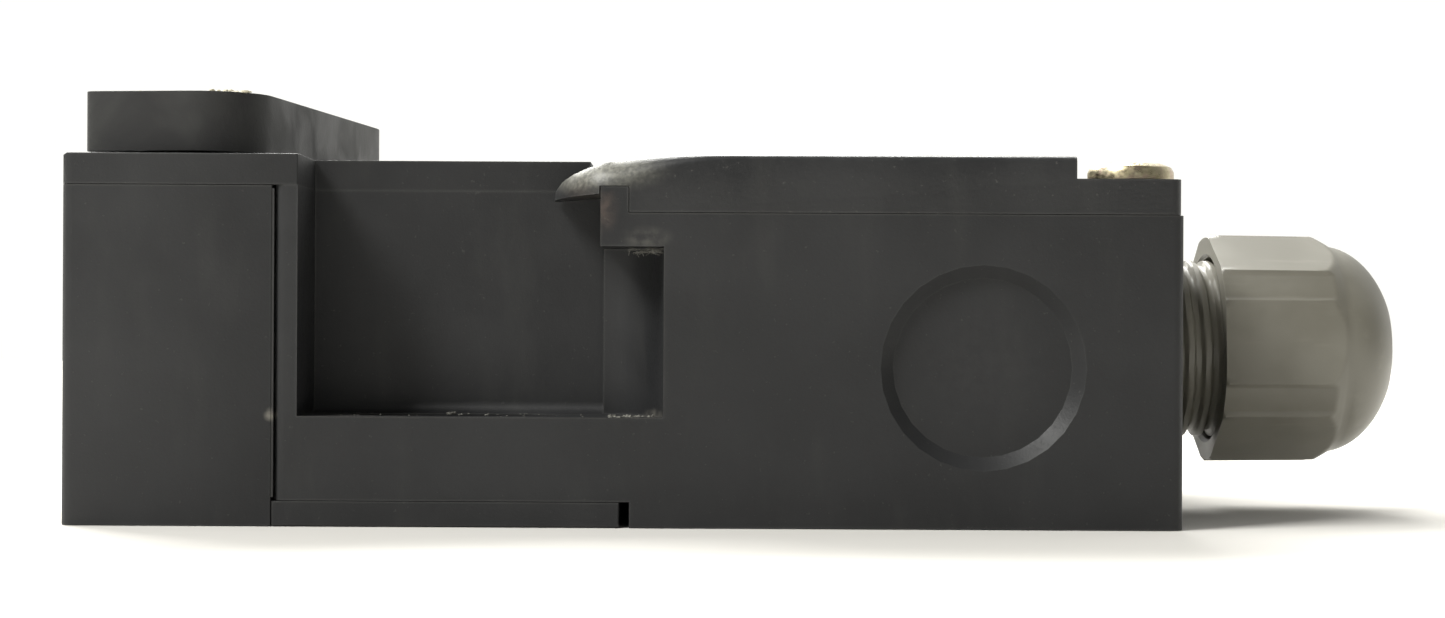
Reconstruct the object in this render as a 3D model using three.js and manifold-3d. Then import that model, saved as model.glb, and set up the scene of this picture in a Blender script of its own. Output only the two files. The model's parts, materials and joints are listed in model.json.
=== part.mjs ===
// Key-operated limit switch: a flat black plastic body with a separate key at its head,
// a screwed terminal lid and a grey cable gland at its other end.
//
// Millimetres. +X runs from the head to the cable gland, +Y across the body, +Z out of the
// mounting face. The origin lies on the mounting face, midway between the two mounting slots.

import * as THREE from 'three';
import { mergeVertices } from 'three/addons/utils/BufferGeometryUtils.js';
import Module from 'manifold-3d';

const wasm = await Module();
wasm.setup();

// ---------------------------------------------------------------- driving dimensions

// Overall body
const bodyLength = 90;
const bodyWidth = 52;
const headTop = 27.3; // seat of the head cover
const wall = 2.5;
const restGap = 0.05; // between pieces that lie on each other
const fitGap = 0.3; // between pieces that slide or slip into each other
const looseGap = 0.1; // around a seal or a nut on its rod or thread
const screwClearance = 0.2; // around a screw's shank

// Driver recesses, as shares of the screw head's radius
const recessReach = 0.62;
const recessWidth = 0.2;
const recessDepth = 0.28;

// Side pockets with the mounting slots
const pocketLength = 24.2;
const pocketDepth = 9;
const pocketFloor = 8.8;
const pocketFillet = 1;
const flareLength = 5.1;
const flareTop = 22.5;
const slotLength = 17;
const slotWidth = 5.3;
const slotFromEdge = 4.4;

// Head
const headLength = 17;
const flangeLength = 2; // housing's full-width rib between the head and the pockets
const cornerRadius = 1;
const flangeCornerRadius = 0.15;
const jointCornerRadius = 0.1;
const coverThickness = 2.5;
const headCavityWidth = 18;
const headWall = 2.5;
const jointGap = 0.05; // between the head and the housing
const frontRecess = 1.8; // hollow in the housing's front wall that clears the drum
const plateThickness = 2;
const plateOverrun = 1.6; // bottom plate past the pocket's end
const plateSlot = 0.8;

// Terminal lid
const lidSeat = 25.2;
const lidTop = 29.9;
const lidSetback = 0.2;
const lidOverPocket = 0.9;
const lidStep = 2.3; // from the pocket's end to the step in the lid's seat
const lidSkin = 2.5;
const lidSkirt = 1.1;
const shelfLength = 8.7;
const shelfDrop = 1.8;
const hornReach = 3.2;
const hornDroop = 0.9; // horn's underside at its tip, below the head's top
const hornRise = 0.3; // of the underside, over the horn's reach across the pocket
const hornRoundOff = 5.3; // length of the horn's rounded side
const noseLength = 11; // front of the lid, sloping down to the horns' tips
const noseDrop = 3.4;
const noseRoll = 2.8; // height that the lid's rounded front loses at its edge
const edgeRoll = 0.5;
const rollEnd = 9; // from the horn's round-off to where the edge is plain again
const rollSlope = 1.28; // how far a roll reaches in, for each unit of its height
const gasketWidth = 1.9;

// Lid screws
const lidScrewFromEnd = 3.6;
const lidScrewFromSide = 5;
const lidScrewHeadRadius = 3.5;
const lidScrewHeadHeight = 1.4;
const lidScrewDome = 0.7;
const lidScrewRadius = 1.8;
const lidScrewDepth = 11;
const postMargin = 5.3;

// Knock-outs in the side walls
const knockoutFromEnd = 16.1;
const knockoutHeight = 12.9;
const knockoutRadius = 7.2;
const knockoutRim = 1.05;
const knockoutDepth = 0.9;

// Key: rubber base, two sleeves and a steel tongue
const keyTwist = THREE.MathUtils.degToRad(6.8); // turned by the play in its slot
const keyBaseWidth = 14.2;
const keyBaseLength = 46.6;
const keyBaseHeight = 4.9;
const keyBaseLift = 0.4;
const keyBaseSharpRadius = 1;
const keyBaseRoundRadius = 5.5;
const keyBaseOffset = { x: 2.6, y: 1.2 }; // from the tongue
const sleeveRadius = 3.5;
const sleeveBore = 2.2;
const sleeveSpacing = 28;
const sleeveProud = 0.3;
const tongueWidth = 11;
const tongueThickness = 1.5;
const tongueFromHeadEnd = 7.8;
const tongueRoot = 3; // length of the tongue inside its base
const windowWidth = 7.2;
const windowTop = 2.4; // above the drum's axis
const crossBar = 2.2;
const lostMotion = 7.7; // between the cross bar and the drum's lug
const keySlotClearance = 0.35;

// Cam drum and its axle
const axisHeight = 14.2; // drum, plunger and contacts
const drumFromHeadEnd = 13.9;
const drumWidth = 6;
const drumRadius = 4.6;
const drumLowRadius = 2.8;
const lugReach = 1.3;
const lugHeight = 1.8;
const lugTipHeight = 0.6;
const drumTurn = THREE.MathUtils.degToRad(75);
const stroke = 2;
const axleRadius = 1.2;
const axleSeat = 5; // length held in each side of the head
const runningGap = 0.06;

// Plunger, contact carrier and springs
const plungerRadius = 2;
const plungerNose = 1.8; // length of its rounded tip
const plungerProud = 2.6; // inside the contact chamber
const sealThickness = 1;
const stemRadius = 1.5;
const collarRadius = 4;
const collarThickness = 1;
const bridgeThickness = 0.8;
const bridgeHeight = 4;
const bridgeInset = 2; // outer bridge's end short of its strip
const bridgeSideGap = 0.2; // between the inner bridge's end and its strip
const contactRadius = 1.4;
const contactGap = 0.3;
const contactSpringLength = 2.2;
const contactTurns = 2.5;
const returnTurns = 6;
const wireRadius = 0.3;
const springCupDepth = 5.6;
const springClearance = 0.2; // between a spring and the stem
const stemEndLength = 5; // past the clip
const trayWall = 1.2;
const trayFloor = 4;
const trayRise = 6; // above the contacts' axis

// Fixed contacts and terminals
const stripThickness = 0.8;
const tabClearance = 0.6; // between a fixed contact's tab and the stem's collars
const stripMargin = 2.2; // from the chamber's side to the outer strips
const stripStep = 3.3; // between the two strips of a side
const chamberFront = 4; // wall between the drum and the contact chamber
const stripLap = 0.3; // strip's end on its terminal
const terminalLength = 8;
const bedMargin = 0.5; // around the terminals
const terminalWidth = 7.4;
const terminalMargin = 1.5; // from the outer terminals' share of the width to the side walls
const jogSetback = 0.3; // between the partition and the strips' cross pieces
const barrierThickness = 1.2;
const barrierHeight = 4.8;
const terminalScrewRadius = 1.5;
const terminalScrewDepth = 6;
const terminalHeadRadius = 3.2;
const terminalHeadHeight = 2.2;
const clampSize = 7;
const clampThickness = 1;

// Cover screws
const coverScrewRadius = 1.4;
const coverScrewHeadRadius = 2.6;
const coverScrewHeadHeight = 1.5;
const coverScrewDepth = 9;
const coverScrewInset = 3.4;
const coverScrewSink = 0.1; // from the cover's top down to the head's

// Cable gland
const glandHeight = 14.3;
const glandThreadRadius = 7.9;
const glandThreadDepth = 0.45;
const glandPitch = 1.5;
const threadInNut = 5.4;
const glandNeck = 6.8; // bare thread outside the body
const glandInside = 6;
const glandBore = 5.6;
const cageLength = 5;
const cageSlots = 6;
const cageSlotWidth = 0.7;
const cageTaper = 1.7;
const sealBore = 3.6;
const sealLength = 14;
const nutWall = 1.4;
const nutCornerStand = 0.6; // rounded corners' radius, past half of the width across flats
const nutChamfer = 0.3;
const nutTaper = 0.3; // across-flats lost on each side over the nut's length
const nutLength = 10.2;
const nutTwist = THREE.MathUtils.degToRad(4);
const domeLength = 5.4;
const domeStep = 0.9; // from the hexagon's rounded corners down to the dome
const domeMouth = 5;
const locknutThickness = 3.4;
const locknutRim = 3.1;
const ringSection = 0.65;
const ringSeatDepth = 1.6;

// Facets of a full turn
const fine = 40;
const medium = 28;
const coarse = 16;

// ---------------------------------------------------------------- places

const halfWidth = bodyWidth / 2;
const waistHalf = halfWidth - pocketDepth;
const pocketStart = -pocketLength / 2;
const pocketEnd = pocketLength / 2;
const flareEnd = pocketEnd + flareLength;
const housingStart = pocketStart - flangeLength;
const headEnd = housingStart - headLength;
const bodyEnd = headEnd + bodyLength;

const slotY = halfWidth - slotFromEdge;
const plateEnd = pocketEnd + plateOverrun;

const coverTop = headTop + coverThickness;
const lidEdge = pocketEnd - lidOverPocket;
const coverEnd = lidEdge - fitGap;
const stepX = pocketEnd + lidStep;
const lidEnd = bodyEnd - lidSetback;
const shelfStart = bodyEnd - shelfLength;
const shelfTop = lidTop - shelfDrop;

const headCavityStart = headEnd + headWall;
const chamberStart = housingStart + chamberFront;
const chamberEnd = pocketEnd - wall;
const chamberHalf = waistHalf - wall;
const chamberTop = headTop - wall;
const boxStart = flareEnd + wall;
const boxEnd = bodyEnd - wall;
const boxHalf = halfWidth - wall;

const drumX = headEnd + drumFromHeadEnd;
const tongueX = headEnd + tongueFromHeadEnd;
const lugTip = drumRadius + lugReach;
const tongueTip = axisHeight - lugHeight / 2 - lostMotion - crossBar;
const keyBaseBottom = coverTop + keyBaseLift;
const keyBaseTop = keyBaseBottom + keyBaseHeight;

const plungerTip = drumX + drumLowRadius + fitGap;
const plungerEnd = chamberStart + plungerProud;
const ncTab = plungerEnd + fitGap + collarThickness + stroke - tabClearance;
const ncBridge = ncTab + stripThickness + contactGap;
const midCollar = ncBridge + bridgeThickness + contactSpringLength + 2 * fitGap;
const noBridge = midCollar + collarThickness + contactSpringLength + 2 * fitGap;
const clip = noBridge + bridgeThickness + fitGap;
const noTab = noBridge + bridgeThickness + stroke + contactGap;
const returnSpringStart = clip + collarThickness + fitGap;
const ncStripY = chamberHalf - stripMargin;
const noStripY = ncStripY - stripStep;
const bridgeHalfNc = ncStripY - bridgeInset;
const bridgeHalfNo = noStripY - stripThickness / 2 - bridgeSideGap;

const jogStart = boxStart + jogSetback;
const terminalStart = jogStart + stripThickness + fitGap;
const terminalBottom = axisHeight - bridgeHeight / 2;
const terminalScrewX = terminalStart + terminalLength / 2;
const terminalPitch = (boxHalf - terminalMargin) / 2;
const noTerminalY = terminalPitch / 2;
const ncTerminalY = noTerminalY + terminalPitch;
const postTop = terminalBottom - restGap;

const lidScrewX = bodyEnd - lidScrewFromEnd;
const lidScrewY = halfWidth - lidScrewFromSide;
const postStart = lidScrewX - postMargin;
const postInner = lidScrewY - postMargin;

const nutAcrossFlats = 2 * (glandThreadRadius + fitGap + nutWall);
const nutCornerRadius = nutAcrossFlats / 2 + nutCornerStand;
const nutStart = bodyEnd + glandNeck;
const hexEnd = nutStart + nutLength;
const nutEnd = hexEnd + domeLength;
const threadEnd = nutStart + threadInNut;
const cageEnd = threadEnd + cageLength;

// ---------------------------------------------------------------- shape helpers

// Signed volume of a closed triangle mesh: positive when its faces point outwards.
function signedVolume(position, index) {
  const a = new THREE.Vector3();
  const b = new THREE.Vector3();
  const c = new THREE.Vector3();
  let volume = 0;
  for (let i = 0; i < index.length; i += 3) {
    a.fromBufferAttribute(position, index[i]);
    b.fromBufferAttribute(position, index[i + 1]);
    c.fromBufferAttribute(position, index[i + 2]);
    volume += a.dot(b.cross(c)) / 6;
  }
  return volume;
}

// A closed three.js geometry as a solid that can be joined and cut.
function solid(geometry) {
  const bare = geometry.index ? geometry.toNonIndexed() : geometry.clone();
  bare.deleteAttribute('normal');
  bare.deleteAttribute('uv');
  const merged = mergeVertices(bare, 1e-4);
  const all = merged.index.array;
  const index = [];
  for (let i = 0; i < all.length; i += 3) {
    const [a, b, c] = [all[i], all[i + 1], all[i + 2]];
    if (a !== b && b !== c && c !== a) {
      index.push(a, b, c);
    }
  }
  if (signedVolume(merged.attributes.position, index) < 0) {
    index.reverse();
  }
  return new wasm.Manifold(new wasm.Mesh({
    numProp: 3,
    vertProperties: new Float32Array(merged.attributes.position.array),
    triVerts: new Uint32Array(index),
  }));
}

function join(...solids) {
  return solids.reduce((whole, next) => whole.add(next));
}

// Cutting tools run 1 mm past the surfaces that they cut through.
function cut(body, ...tools) {
  return tools.reduce((rest, tool) => rest.subtract(tool), body);
}

// Box between two corners.
function block(x0, x1, y0, y1, z0, z1) {
  const geometry = new THREE.BoxGeometry(x1 - x0, y1 - y0, z1 - z0);
  geometry.translate((x0 + x1) / 2, (y0 + y1) / 2, (z0 + z1) / 2);
  return solid(geometry);
}

// Straight round bar along an axis: 'x', 'y' or 'z'. The place gives its other two coordinates.
function bar(axis, radius, from, to, place, facets = medium) {
  const geometry = new THREE.CylinderGeometry(radius, radius, to - from, facets);
  const middle = (from + to) / 2;
  if (axis === 'x') {
    geometry.rotateZ(-Math.PI / 2);
    geometry.translate(middle, place[0], place[1]);
  } else if (axis === 'y') {
    geometry.translate(place[0], middle, place[1]);
  } else {
    geometry.rotateX(Math.PI / 2);
    geometry.translate(place[0], place[1], middle);
  }
  return solid(geometry);
}

// Profile of [radius, distance] points turned about an axis.
function turned(axis, profile, place, facets = medium) {
  const points = profile.map(([radius, distance]) => new THREE.Vector2(radius, distance));
  const geometry = new THREE.LatheGeometry(points, facets);
  if (axis === 'x') {
    geometry.rotateZ(-Math.PI / 2);
    geometry.translate(0, place[0], place[1]);
  } else {
    geometry.rotateX(Math.PI / 2);
    geometry.translate(place[0], place[1], 0);
  }
  return solid(geometry);
}

// Tube: a profile that closes on itself.
function sleeve(axis, inner, outer, from, to, place, facets = medium) {
  const profile = [[inner, from], [outer, from], [outer, to], [inner, to], [inner, from]];
  return turned(axis, profile, place, facets);
}

function shapeFrom(points) {
  return new THREE.Shape(points.map(([x, y]) => new THREE.Vector2(x, y)));
}

// Outline in the XY plane, raised along Z.
function prismZ(shape, z0, z1) {
  const geometry = new THREE.ExtrudeGeometry(shape, { depth: z1 - z0, bevelEnabled: false });
  geometry.translate(0, 0, z0);
  return solid(geometry);
}

// Outline of [x, z] points, drawn out along Y.
function prismY(shape, y0, y1) {
  const geometry = new THREE.ExtrudeGeometry(shape, { depth: y1 - y0, bevelEnabled: false });
  geometry.rotateX(Math.PI / 2);
  geometry.translate(0, y1, 0);
  return solid(geometry);
}

// Outline of [y, z] points, drawn out along X.
function prismX(shape, x0, x1) {
  const geometry = new THREE.ExtrudeGeometry(shape, { depth: x1 - x0, bevelEnabled: false });
  const axes = new THREE.Matrix4().makeBasis(
    new THREE.Vector3(0, 1, 0),
    new THREE.Vector3(0, 0, 1),
    new THREE.Vector3(1, 0, 0),
  );
  geometry.applyMatrix4(axes);
  geometry.translate(x0, 0, 0);
  return solid(geometry);
}

// Points of an arc about a centre, both ends included.
function arc(cx, cy, rx, ry, from, to, steps) {
  const points = [];
  for (let i = 0; i <= steps; i += 1) {
    const angle = from + ((to - from) * i) / steps;
    points.push([cx + rx * Math.cos(angle), cy + ry * Math.sin(angle)]);
  }
  return points;
}

// Rectangle with its own radius at the low-X corners and another at the high-X corners.
function roundedOutline(x0, x1, y0, y1, lowRadius, highRadius, steps = 5) {
  const quarter = Math.PI / 2;
  const low = lowRadius;
  const high = highRadius;
  return [
    ...arc(x0 + low, y0 + low, low, low, 2 * quarter, 3 * quarter, steps),
    ...arc(x1 - high, y0 + high, high, high, 3 * quarter, 4 * quarter, steps),
    ...arc(x1 - high, y1 - high, high, high, 0, quarter, steps),
    ...arc(x0 + low, y1 - low, low, low, quarter, 2 * quarter, steps),
  ];
}

// Slot with round ends along X, cut along Z.
function longSlot(length, width, x, y, z0, z1) {
  const radius = width / 2;
  const reach = length / 2 - radius;
  const quarter = Math.PI / 2;
  const outline = [
    ...arc(x + reach, y, radius, radius, -quarter, quarter, coarse / 2),
    ...arc(x - reach, y, radius, radius, quarter, 3 * quarter, coarse / 2),
  ];
  return prismZ(shapeFrom(outline), z0, z1);
}

// Solid between stacked rings, each a list of the same number of [x, y, z] points.
function stacked(rings) {
  const count = rings[0].length;
  const index = [];
  for (let level = 0; level + 1 < rings.length; level += 1) {
    for (let i = 0; i < count; i += 1) {
      const a = level * count + i;
      const b = level * count + ((i + 1) % count);
      index.push(a, b, b + count, a, b + count, a + count);
    }
  }
  const plan = rings[0].map(([x, y]) => new THREE.Vector2(x, y));
  const top = (rings.length - 1) * count;
  for (const [a, b, c] of THREE.ShapeUtils.triangulateShape(plan, [])) {
    index.push(a, c, b);
  }
  const roof = rings.at(-1).map(([x, y]) => new THREE.Vector2(x, y));
  for (const [a, b, c] of THREE.ShapeUtils.triangulateShape(roof, [])) {
    index.push(top + a, top + b, top + c);
  }
  const geometry = new THREE.BufferGeometry();
  geometry.setAttribute('position', new THREE.Float32BufferAttribute(rings.flat(2), 3));
  geometry.setIndex(index);
  return solid(geometry);
}

// Round-wire compression spring along X.
class Helix extends THREE.Curve {
  constructor(radius, from, to, turns) {
    super();
    Object.assign(this, { radius, from, to, turns });
  }

  getPoint(t, target = new THREE.Vector3()) {
    const angle = 2 * Math.PI * this.turns * t;
    return target.set(
      this.from + (this.to - this.from) * t,
      this.radius * Math.cos(angle),
      axisHeight + this.radius * Math.sin(angle),
    );
  }
}

function coilSpring(radius, from, to, turns) {
  const section = shapeFrom(arc(0, 0, wireRadius, wireRadius, 0, (2 * Math.PI * 5) / 6, 5));
  const path = new Helix(radius, from + wireRadius, to - wireRadius, turns);
  return solid(new THREE.ExtrudeGeometry(section, {
    steps: Math.round(turns * 12),
    extrudePath: path,
    bevelEnabled: false,
  }));
}

// ---------------------------------------------------------------- materials

function finish(color, roughness, metalness) {
  return new THREE.MeshStandardMaterial({ color, roughness, metalness });
}

const blackPlastic = () => finish(0x373839, 0.62, 0);
const blackRubber = () => finish(0x3c3c3b, 0.82, 0);
const greyNylon = () => finish(0x6c6b62, 0.5, 0);
const creamPlastic = () => finish(0xc9c2ad, 0.55, 0);
const redPlastic = () => finish(0x8c2a22, 0.5, 0);
const steel = () => finish(0x9a9c9e, 0.32, 1);
const springSteel = () => finish(0x8a8c8e, 0.3, 1);
const brass = () => finish(0xb08d4a, 0.35, 1);
const passivated = () => finish(0xb5a26a, 0.4, 1);

// ---------------------------------------------------------------- housing and head

const sides = [-1, 1];

// Round-cornered outline of the whole body, from one X to another.
function bodyOutline(x0, x1, y = halfWidth) {
  return shapeFrom(roundedOutline(x0, x1, -y, y, cornerRadius, cornerRadius, 3));
}

// One side pocket with its filleted floor and the scooped flare at its end.
function pocket(side) {
  const inner = side * waistHalf;
  const outer = side * (halfWidth + 1);
  const quarter = Math.PI / 2;
  const cornerY = inner + side * pocketFillet;
  const cornerZ = pocketFloor + pocketFillet;
  const fillet = arc(cornerY, cornerZ, -side * pocketFillet, pocketFillet, 0, -quarter, 4);
  const section = shapeFrom([[outer, headTop + 1], [inner, headTop + 1], ...fillet, [outer, pocketFloor]]);
  const straight = prismX(section, pocketStart, pocketEnd);
  const deep = inner + side * pocketFillet;
  const reach = side * halfWidth - deep;
  const scoop = shapeFrom([
    [pocketEnd - 1, outer],
    [pocketEnd - 1, deep],
    ...arc(pocketEnd, side * halfWidth, flareLength, reach, -quarter, 0, 7),
    [flareEnd, outer],
  ]);
  return straight.add(prismZ(scoop, pocketFloor, flareTop));
}

// Shallow round recess with a bevelled rim where a second cable entry can be broken out.
function knockout(side) {
  const x = bodyEnd - knockoutFromEnd;
  const face = side * halfWidth;
  const floor = halfWidth - knockoutDepth;
  const profile = [
    [0, floor],
    [knockoutRadius, floor],
    [knockoutRadius + knockoutRim, halfWidth],
    [knockoutRadius + knockoutRim, halfWidth + 1],
    [0, halfWidth + 1],
  ];
  const geometry = new THREE.LatheGeometry(
    profile.map(([radius, distance]) => new THREE.Vector2(radius, distance)),
    medium,
  );
  if (face < 0) {
    geometry.rotateX(Math.PI);
  }
  geometry.translate(x, 0, knockoutHeight);
  return solid(geometry);
}

// Floor block under the terminals, with barriers between them. The barriers start behind the
// cross pieces of the contact strips.
function terminalBed() {
  const end = terminalStart + terminalLength + bedMargin;
  const half = ncTerminalY + terminalWidth / 2 + bedMargin;
  const bed = block(boxStart - 1, end, -half, half, wall / 2, postTop);
  const spacing = (noTerminalY + ncTerminalY) / 2;
  const ribs = [-spacing, 0, spacing].map((y) => block(
    terminalStart,
    end,
    y - barrierThickness / 2,
    y + barrierThickness / 2,
    postTop - 1,
    terminalBottom + barrierHeight,
  ));
  return join(bed, ...ribs);
}

function housing() {
  const outline = bodyOutline(housingStart, bodyEnd);
  const shell = prismZ(outline, 0, headTop);
  const aboveSeat = block(stepX - restGap, bodyEnd + 1, -halfWidth - 1, halfWidth + 1, lidSeat, headTop + 1);
  const plateSeat = block(
    housingStart - 1,
    plateEnd + plateSlot,
    -halfWidth - 1,
    halfWidth + 1,
    -1,
    plateThickness + restGap,
  );
  const chamber = block(chamberStart, chamberEnd, -chamberHalf, chamberHalf, -1, chamberTop);
  const drumRecess = block(
    housingStart - 1,
    housingStart + frontRecess,
    -headCavityWidth / 2,
    headCavityWidth / 2,
    headWall,
    chamberTop,
  );
  const wiring = join(
    block(flareEnd, boxStart + 1, -chamberHalf, chamberHalf, wall, lidSeat + 1),
    block(boxStart, boxEnd, -boxHalf, boxHalf, wall, lidSeat + 1),
  );
  const posts = sides.map((side) => {
    const near = side < 0 ? -boxHalf - 1 : postInner;
    const far = side < 0 ? -postInner : boxHalf + 1;
    return block(postStart, boxEnd + 1, near, far, wall - 1, lidSeat);
  });
  const axisPlace = [0, axisHeight];
  const throughCuts = [
    bar('x', plungerRadius + fitGap, housingStart - 1, chamberStart + 1, axisPlace),
    bar('x', collarRadius, chamberEnd - 1, chamberEnd + springCupDepth, axisPlace),
    bar('x', glandThreadRadius + fitGap, boxEnd - 1, bodyEnd + 1, [0, glandHeight], fine),
    bar('x', glandThreadRadius + 2 * ringSection + fitGap, bodyEnd - ringSeatDepth, bodyEnd + 1,
      [0, glandHeight], fine),
  ];
  for (const side of sides) {
    throughCuts.push(
      pocket(side),
      knockout(side),
      longSlot(slotLength, slotWidth, 0, side * slotY, -1, pocketFloor + 1),
      bar('z', lidScrewRadius + screwClearance, lidSeat - lidScrewDepth - 1, lidSeat + 1,
        [lidScrewX, side * lidScrewY]),
      stripPassage(side * ncStripY),
      stripPassage(side * noStripY),
      bar('z', terminalScrewRadius + screwClearance, postTop - terminalScrewDepth, postTop + 1,
        [terminalScrewX, side * ncTerminalY], coarse),
      bar('z', terminalScrewRadius + screwClearance, postTop - terminalScrewDepth, postTop + 1,
        [terminalScrewX, side * noTerminalY], coarse),
    );
  }
  const hollow = cut(shell, aboveSeat, plateSeat, chamber, drumRecess, wiring);
  return cut(join(hollow, ...posts, terminalBed()), ...throughCuts);
}

// Passage through the partition for a contact strip.
function stripPassage(y) {
  const half = stripThickness / 2 + fitGap / 2;
  const low = terminalBottom - restGap;
  return block(chamberEnd - 1, boxStart + 0.5, y - half, y + half, low, terminalBottom + bridgeHeight + fitGap);
}

function bottomPlate() {
  const plate = block(housingStart + jointGap / 2, plateEnd, -halfWidth, halfWidth, 0, plateThickness);
  const slots = sides.map((side) => longSlot(slotLength, slotWidth, 0, side * slotY, -1, plateThickness + 1));
  return cut(plate, ...slots);
}

function headBlock() {
  const end = housingStart - jointGap;
  const outline = shapeFrom(
    roundedOutline(headEnd, end, -halfWidth, halfWidth, cornerRadius, jointCornerRadius, 3),
  );
  const shell = prismZ(outline, 0, headTop - restGap);
  const cavity = block(
    headCavityStart,
    end + 1,
    -headCavityWidth / 2,
    headCavityWidth / 2,
    headWall,
    headTop + 1,
  );
  const half = headCavityWidth / 2 + axleSeat;
  const axleBore = bar('y', axleRadius + runningGap, -half, half, [drumX, axisHeight], coarse);
  const screwHoles = coverScrewPlaces().map((place) => bar(
    'z',
    coverScrewRadius + screwClearance,
    headTop - coverScrewDepth,
    headTop + 1,
    place,
    coarse,
  ));
  return cut(shell, cavity, axleBore, ...screwHoles);
}

function coverScrewPlaces() {
  const places = [];
  for (const x of [headEnd + coverScrewInset, housingStart - coverScrewInset]) {
    for (const side of sides) {
      places.push([x, side * (halfWidth - coverScrewInset)]);
    }
  }
  return places;
}

// Flat cover over the head and the waist, with the key slot and recesses for its screws.
function headCover() {
  const head = prismZ(
    shapeFrom(roundedOutline(headEnd, pocketStart, -halfWidth, halfWidth, cornerRadius, flangeCornerRadius, 3)),
    headTop,
    coverTop,
  );
  const waist = block(housingStart, coverEnd, -waistHalf, waistHalf, headTop, coverTop);
  const roll = edgeRoller(coverTop, edgeRoll);
  const slot = new THREE.BoxGeometry(
    tongueThickness + 2 * keySlotClearance,
    tongueWidth + 2 * keySlotClearance,
    coverThickness + 2,
  );
  slot.rotateZ(-keyTwist);
  slot.translate(tongueX, 0, (headTop + coverTop) / 2);
  const seat = coverTop - coverScrewSink - coverScrewHeadHeight - restGap;
  const recesses = coverScrewPlaces().flatMap((place) => [
    bar('z', coverScrewRadius + screwClearance, headTop - 1, coverTop + 1, place, coarse),
    bar('z', coverScrewHeadRadius + screwClearance, seat, coverTop + 1, place, coarse),
  ]);
  return cut(join(head, waist), roll, solid(slot), ...recesses);
}

// Wedge that takes the sharp edge off a cover's head end.
function edgeRoller(top, size) {
  const section = shapeFrom([
    [headEnd - 1, top + 1],
    [headEnd - 1, top - size - 1],
    [headEnd, top - size],
    [headEnd + size * 0.3, top - size * 0.3],
    [headEnd + size, top],
    [headEnd + size + 1, top + 1],
  ]);
  return prismY(section, -halfWidth - 1, halfWidth + 1);
}

function coverScrew(place) {
  const top = coverTop - coverScrewSink;
  const head = bar('z', coverScrewHeadRadius, top - coverScrewHeadHeight, top, place, coarse);
  const shank = bar('z', coverScrewRadius, headTop - coverScrewDepth + 1, coverTop - 1, place, coarse);
  return cut(join(head, shank), crossRecess(place, top, coverScrewHeadRadius));
}

// Cross-shaped driver recess in a screw head.
function crossRecess([x, y], top, headRadius) {
  const reach = headRadius * recessReach;
  const width = headRadius * recessWidth;
  const depth = headRadius * recessDepth;
  return join(
    block(x - reach, x + reach, y - width / 2, y + width / 2, top - depth, top + 1),
    block(x - width / 2, x + width / 2, y - reach, y + reach, top - depth, top + 1),
  );
}

// ---------------------------------------------------------------- terminal lid

// Lid seen from above: square at the gland end, with a rounded horn on each side at the other.
// Each point carries the height that the rolled edge loses there.
function lidOutline() {
  const quarter = Math.PI / 2;
  const hornTip = lidEdge - hornReach;
  const inner = waistHalf + fitGap;
  const hornDepth = halfWidth - inner - 1;
  const roundStart = hornTip + hornRoundOff;
  const plainX = roundStart + rollEnd;
  const near = [];
  const tipY = -halfWidth + hornDepth;
  for (const [x, y] of arc(roundStart, tipY, hornRoundOff, hornDepth, 2 * quarter, 3 * quarter, 8)) {
    near.push([x, y, noseRoll]);
  }
  const steps = 5;
  for (let i = 1; i <= steps; i += 1) {
    const t = i / steps;
    near.push([roundStart + rollEnd * t, -halfWidth, noseRoll + (edgeRoll - noseRoll) * Math.sin(t * quarter)]);
  }
  near.push([(plainX + lidEnd) / 2, -halfWidth, edgeRoll]);
  for (const [x, y] of arc(lidEnd - cornerRadius, -halfWidth + cornerRadius, cornerRadius, cornerRadius,
    3 * quarter, 4 * quarter, 3)) {
    near.push([x, y, edgeRoll]);
  }
  const horn = [[lidEdge, -inner, 0.2], [hornTip + 1, -inner, 1], [hornTip, -inner, noseRoll]];
  const half = [...horn, ...near];
  const mirrored = half.map(([x, y, roll]) => [x, -y, roll]).reverse();
  return [...half, ...mirrored];
}

function lidBlank() {
  const outline = lidOutline();
  const count = outline.length;
  const normals = outline.map((point, i) => {
    const before = outline[(i + count - 1) % count];
    const after = outline[(i + 1) % count];
    const along = new THREE.Vector2(after[0] - before[0], after[1] - before[1]).normalize();
    return [along.y, -along.x];
  });
  const rings = [outline.map(([x, y]) => [x, y, lidSeat])];
  const levels = 5;
  for (let level = 0; level <= levels; level += 1) {
    const angle = (Math.PI / 2) * (level / levels);
    const inward = 1 - Math.cos(angle);
    const down = 1 - Math.sin(angle);
    rings.push(outline.map(([x, y, roll], i) => [
      x - normals[i][0] * roll * rollSlope * inward,
      y - normals[i][1] * roll * rollSlope * inward,
      lidTop - roll * down,
    ]));
  }
  return stacked(rings);
}

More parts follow.
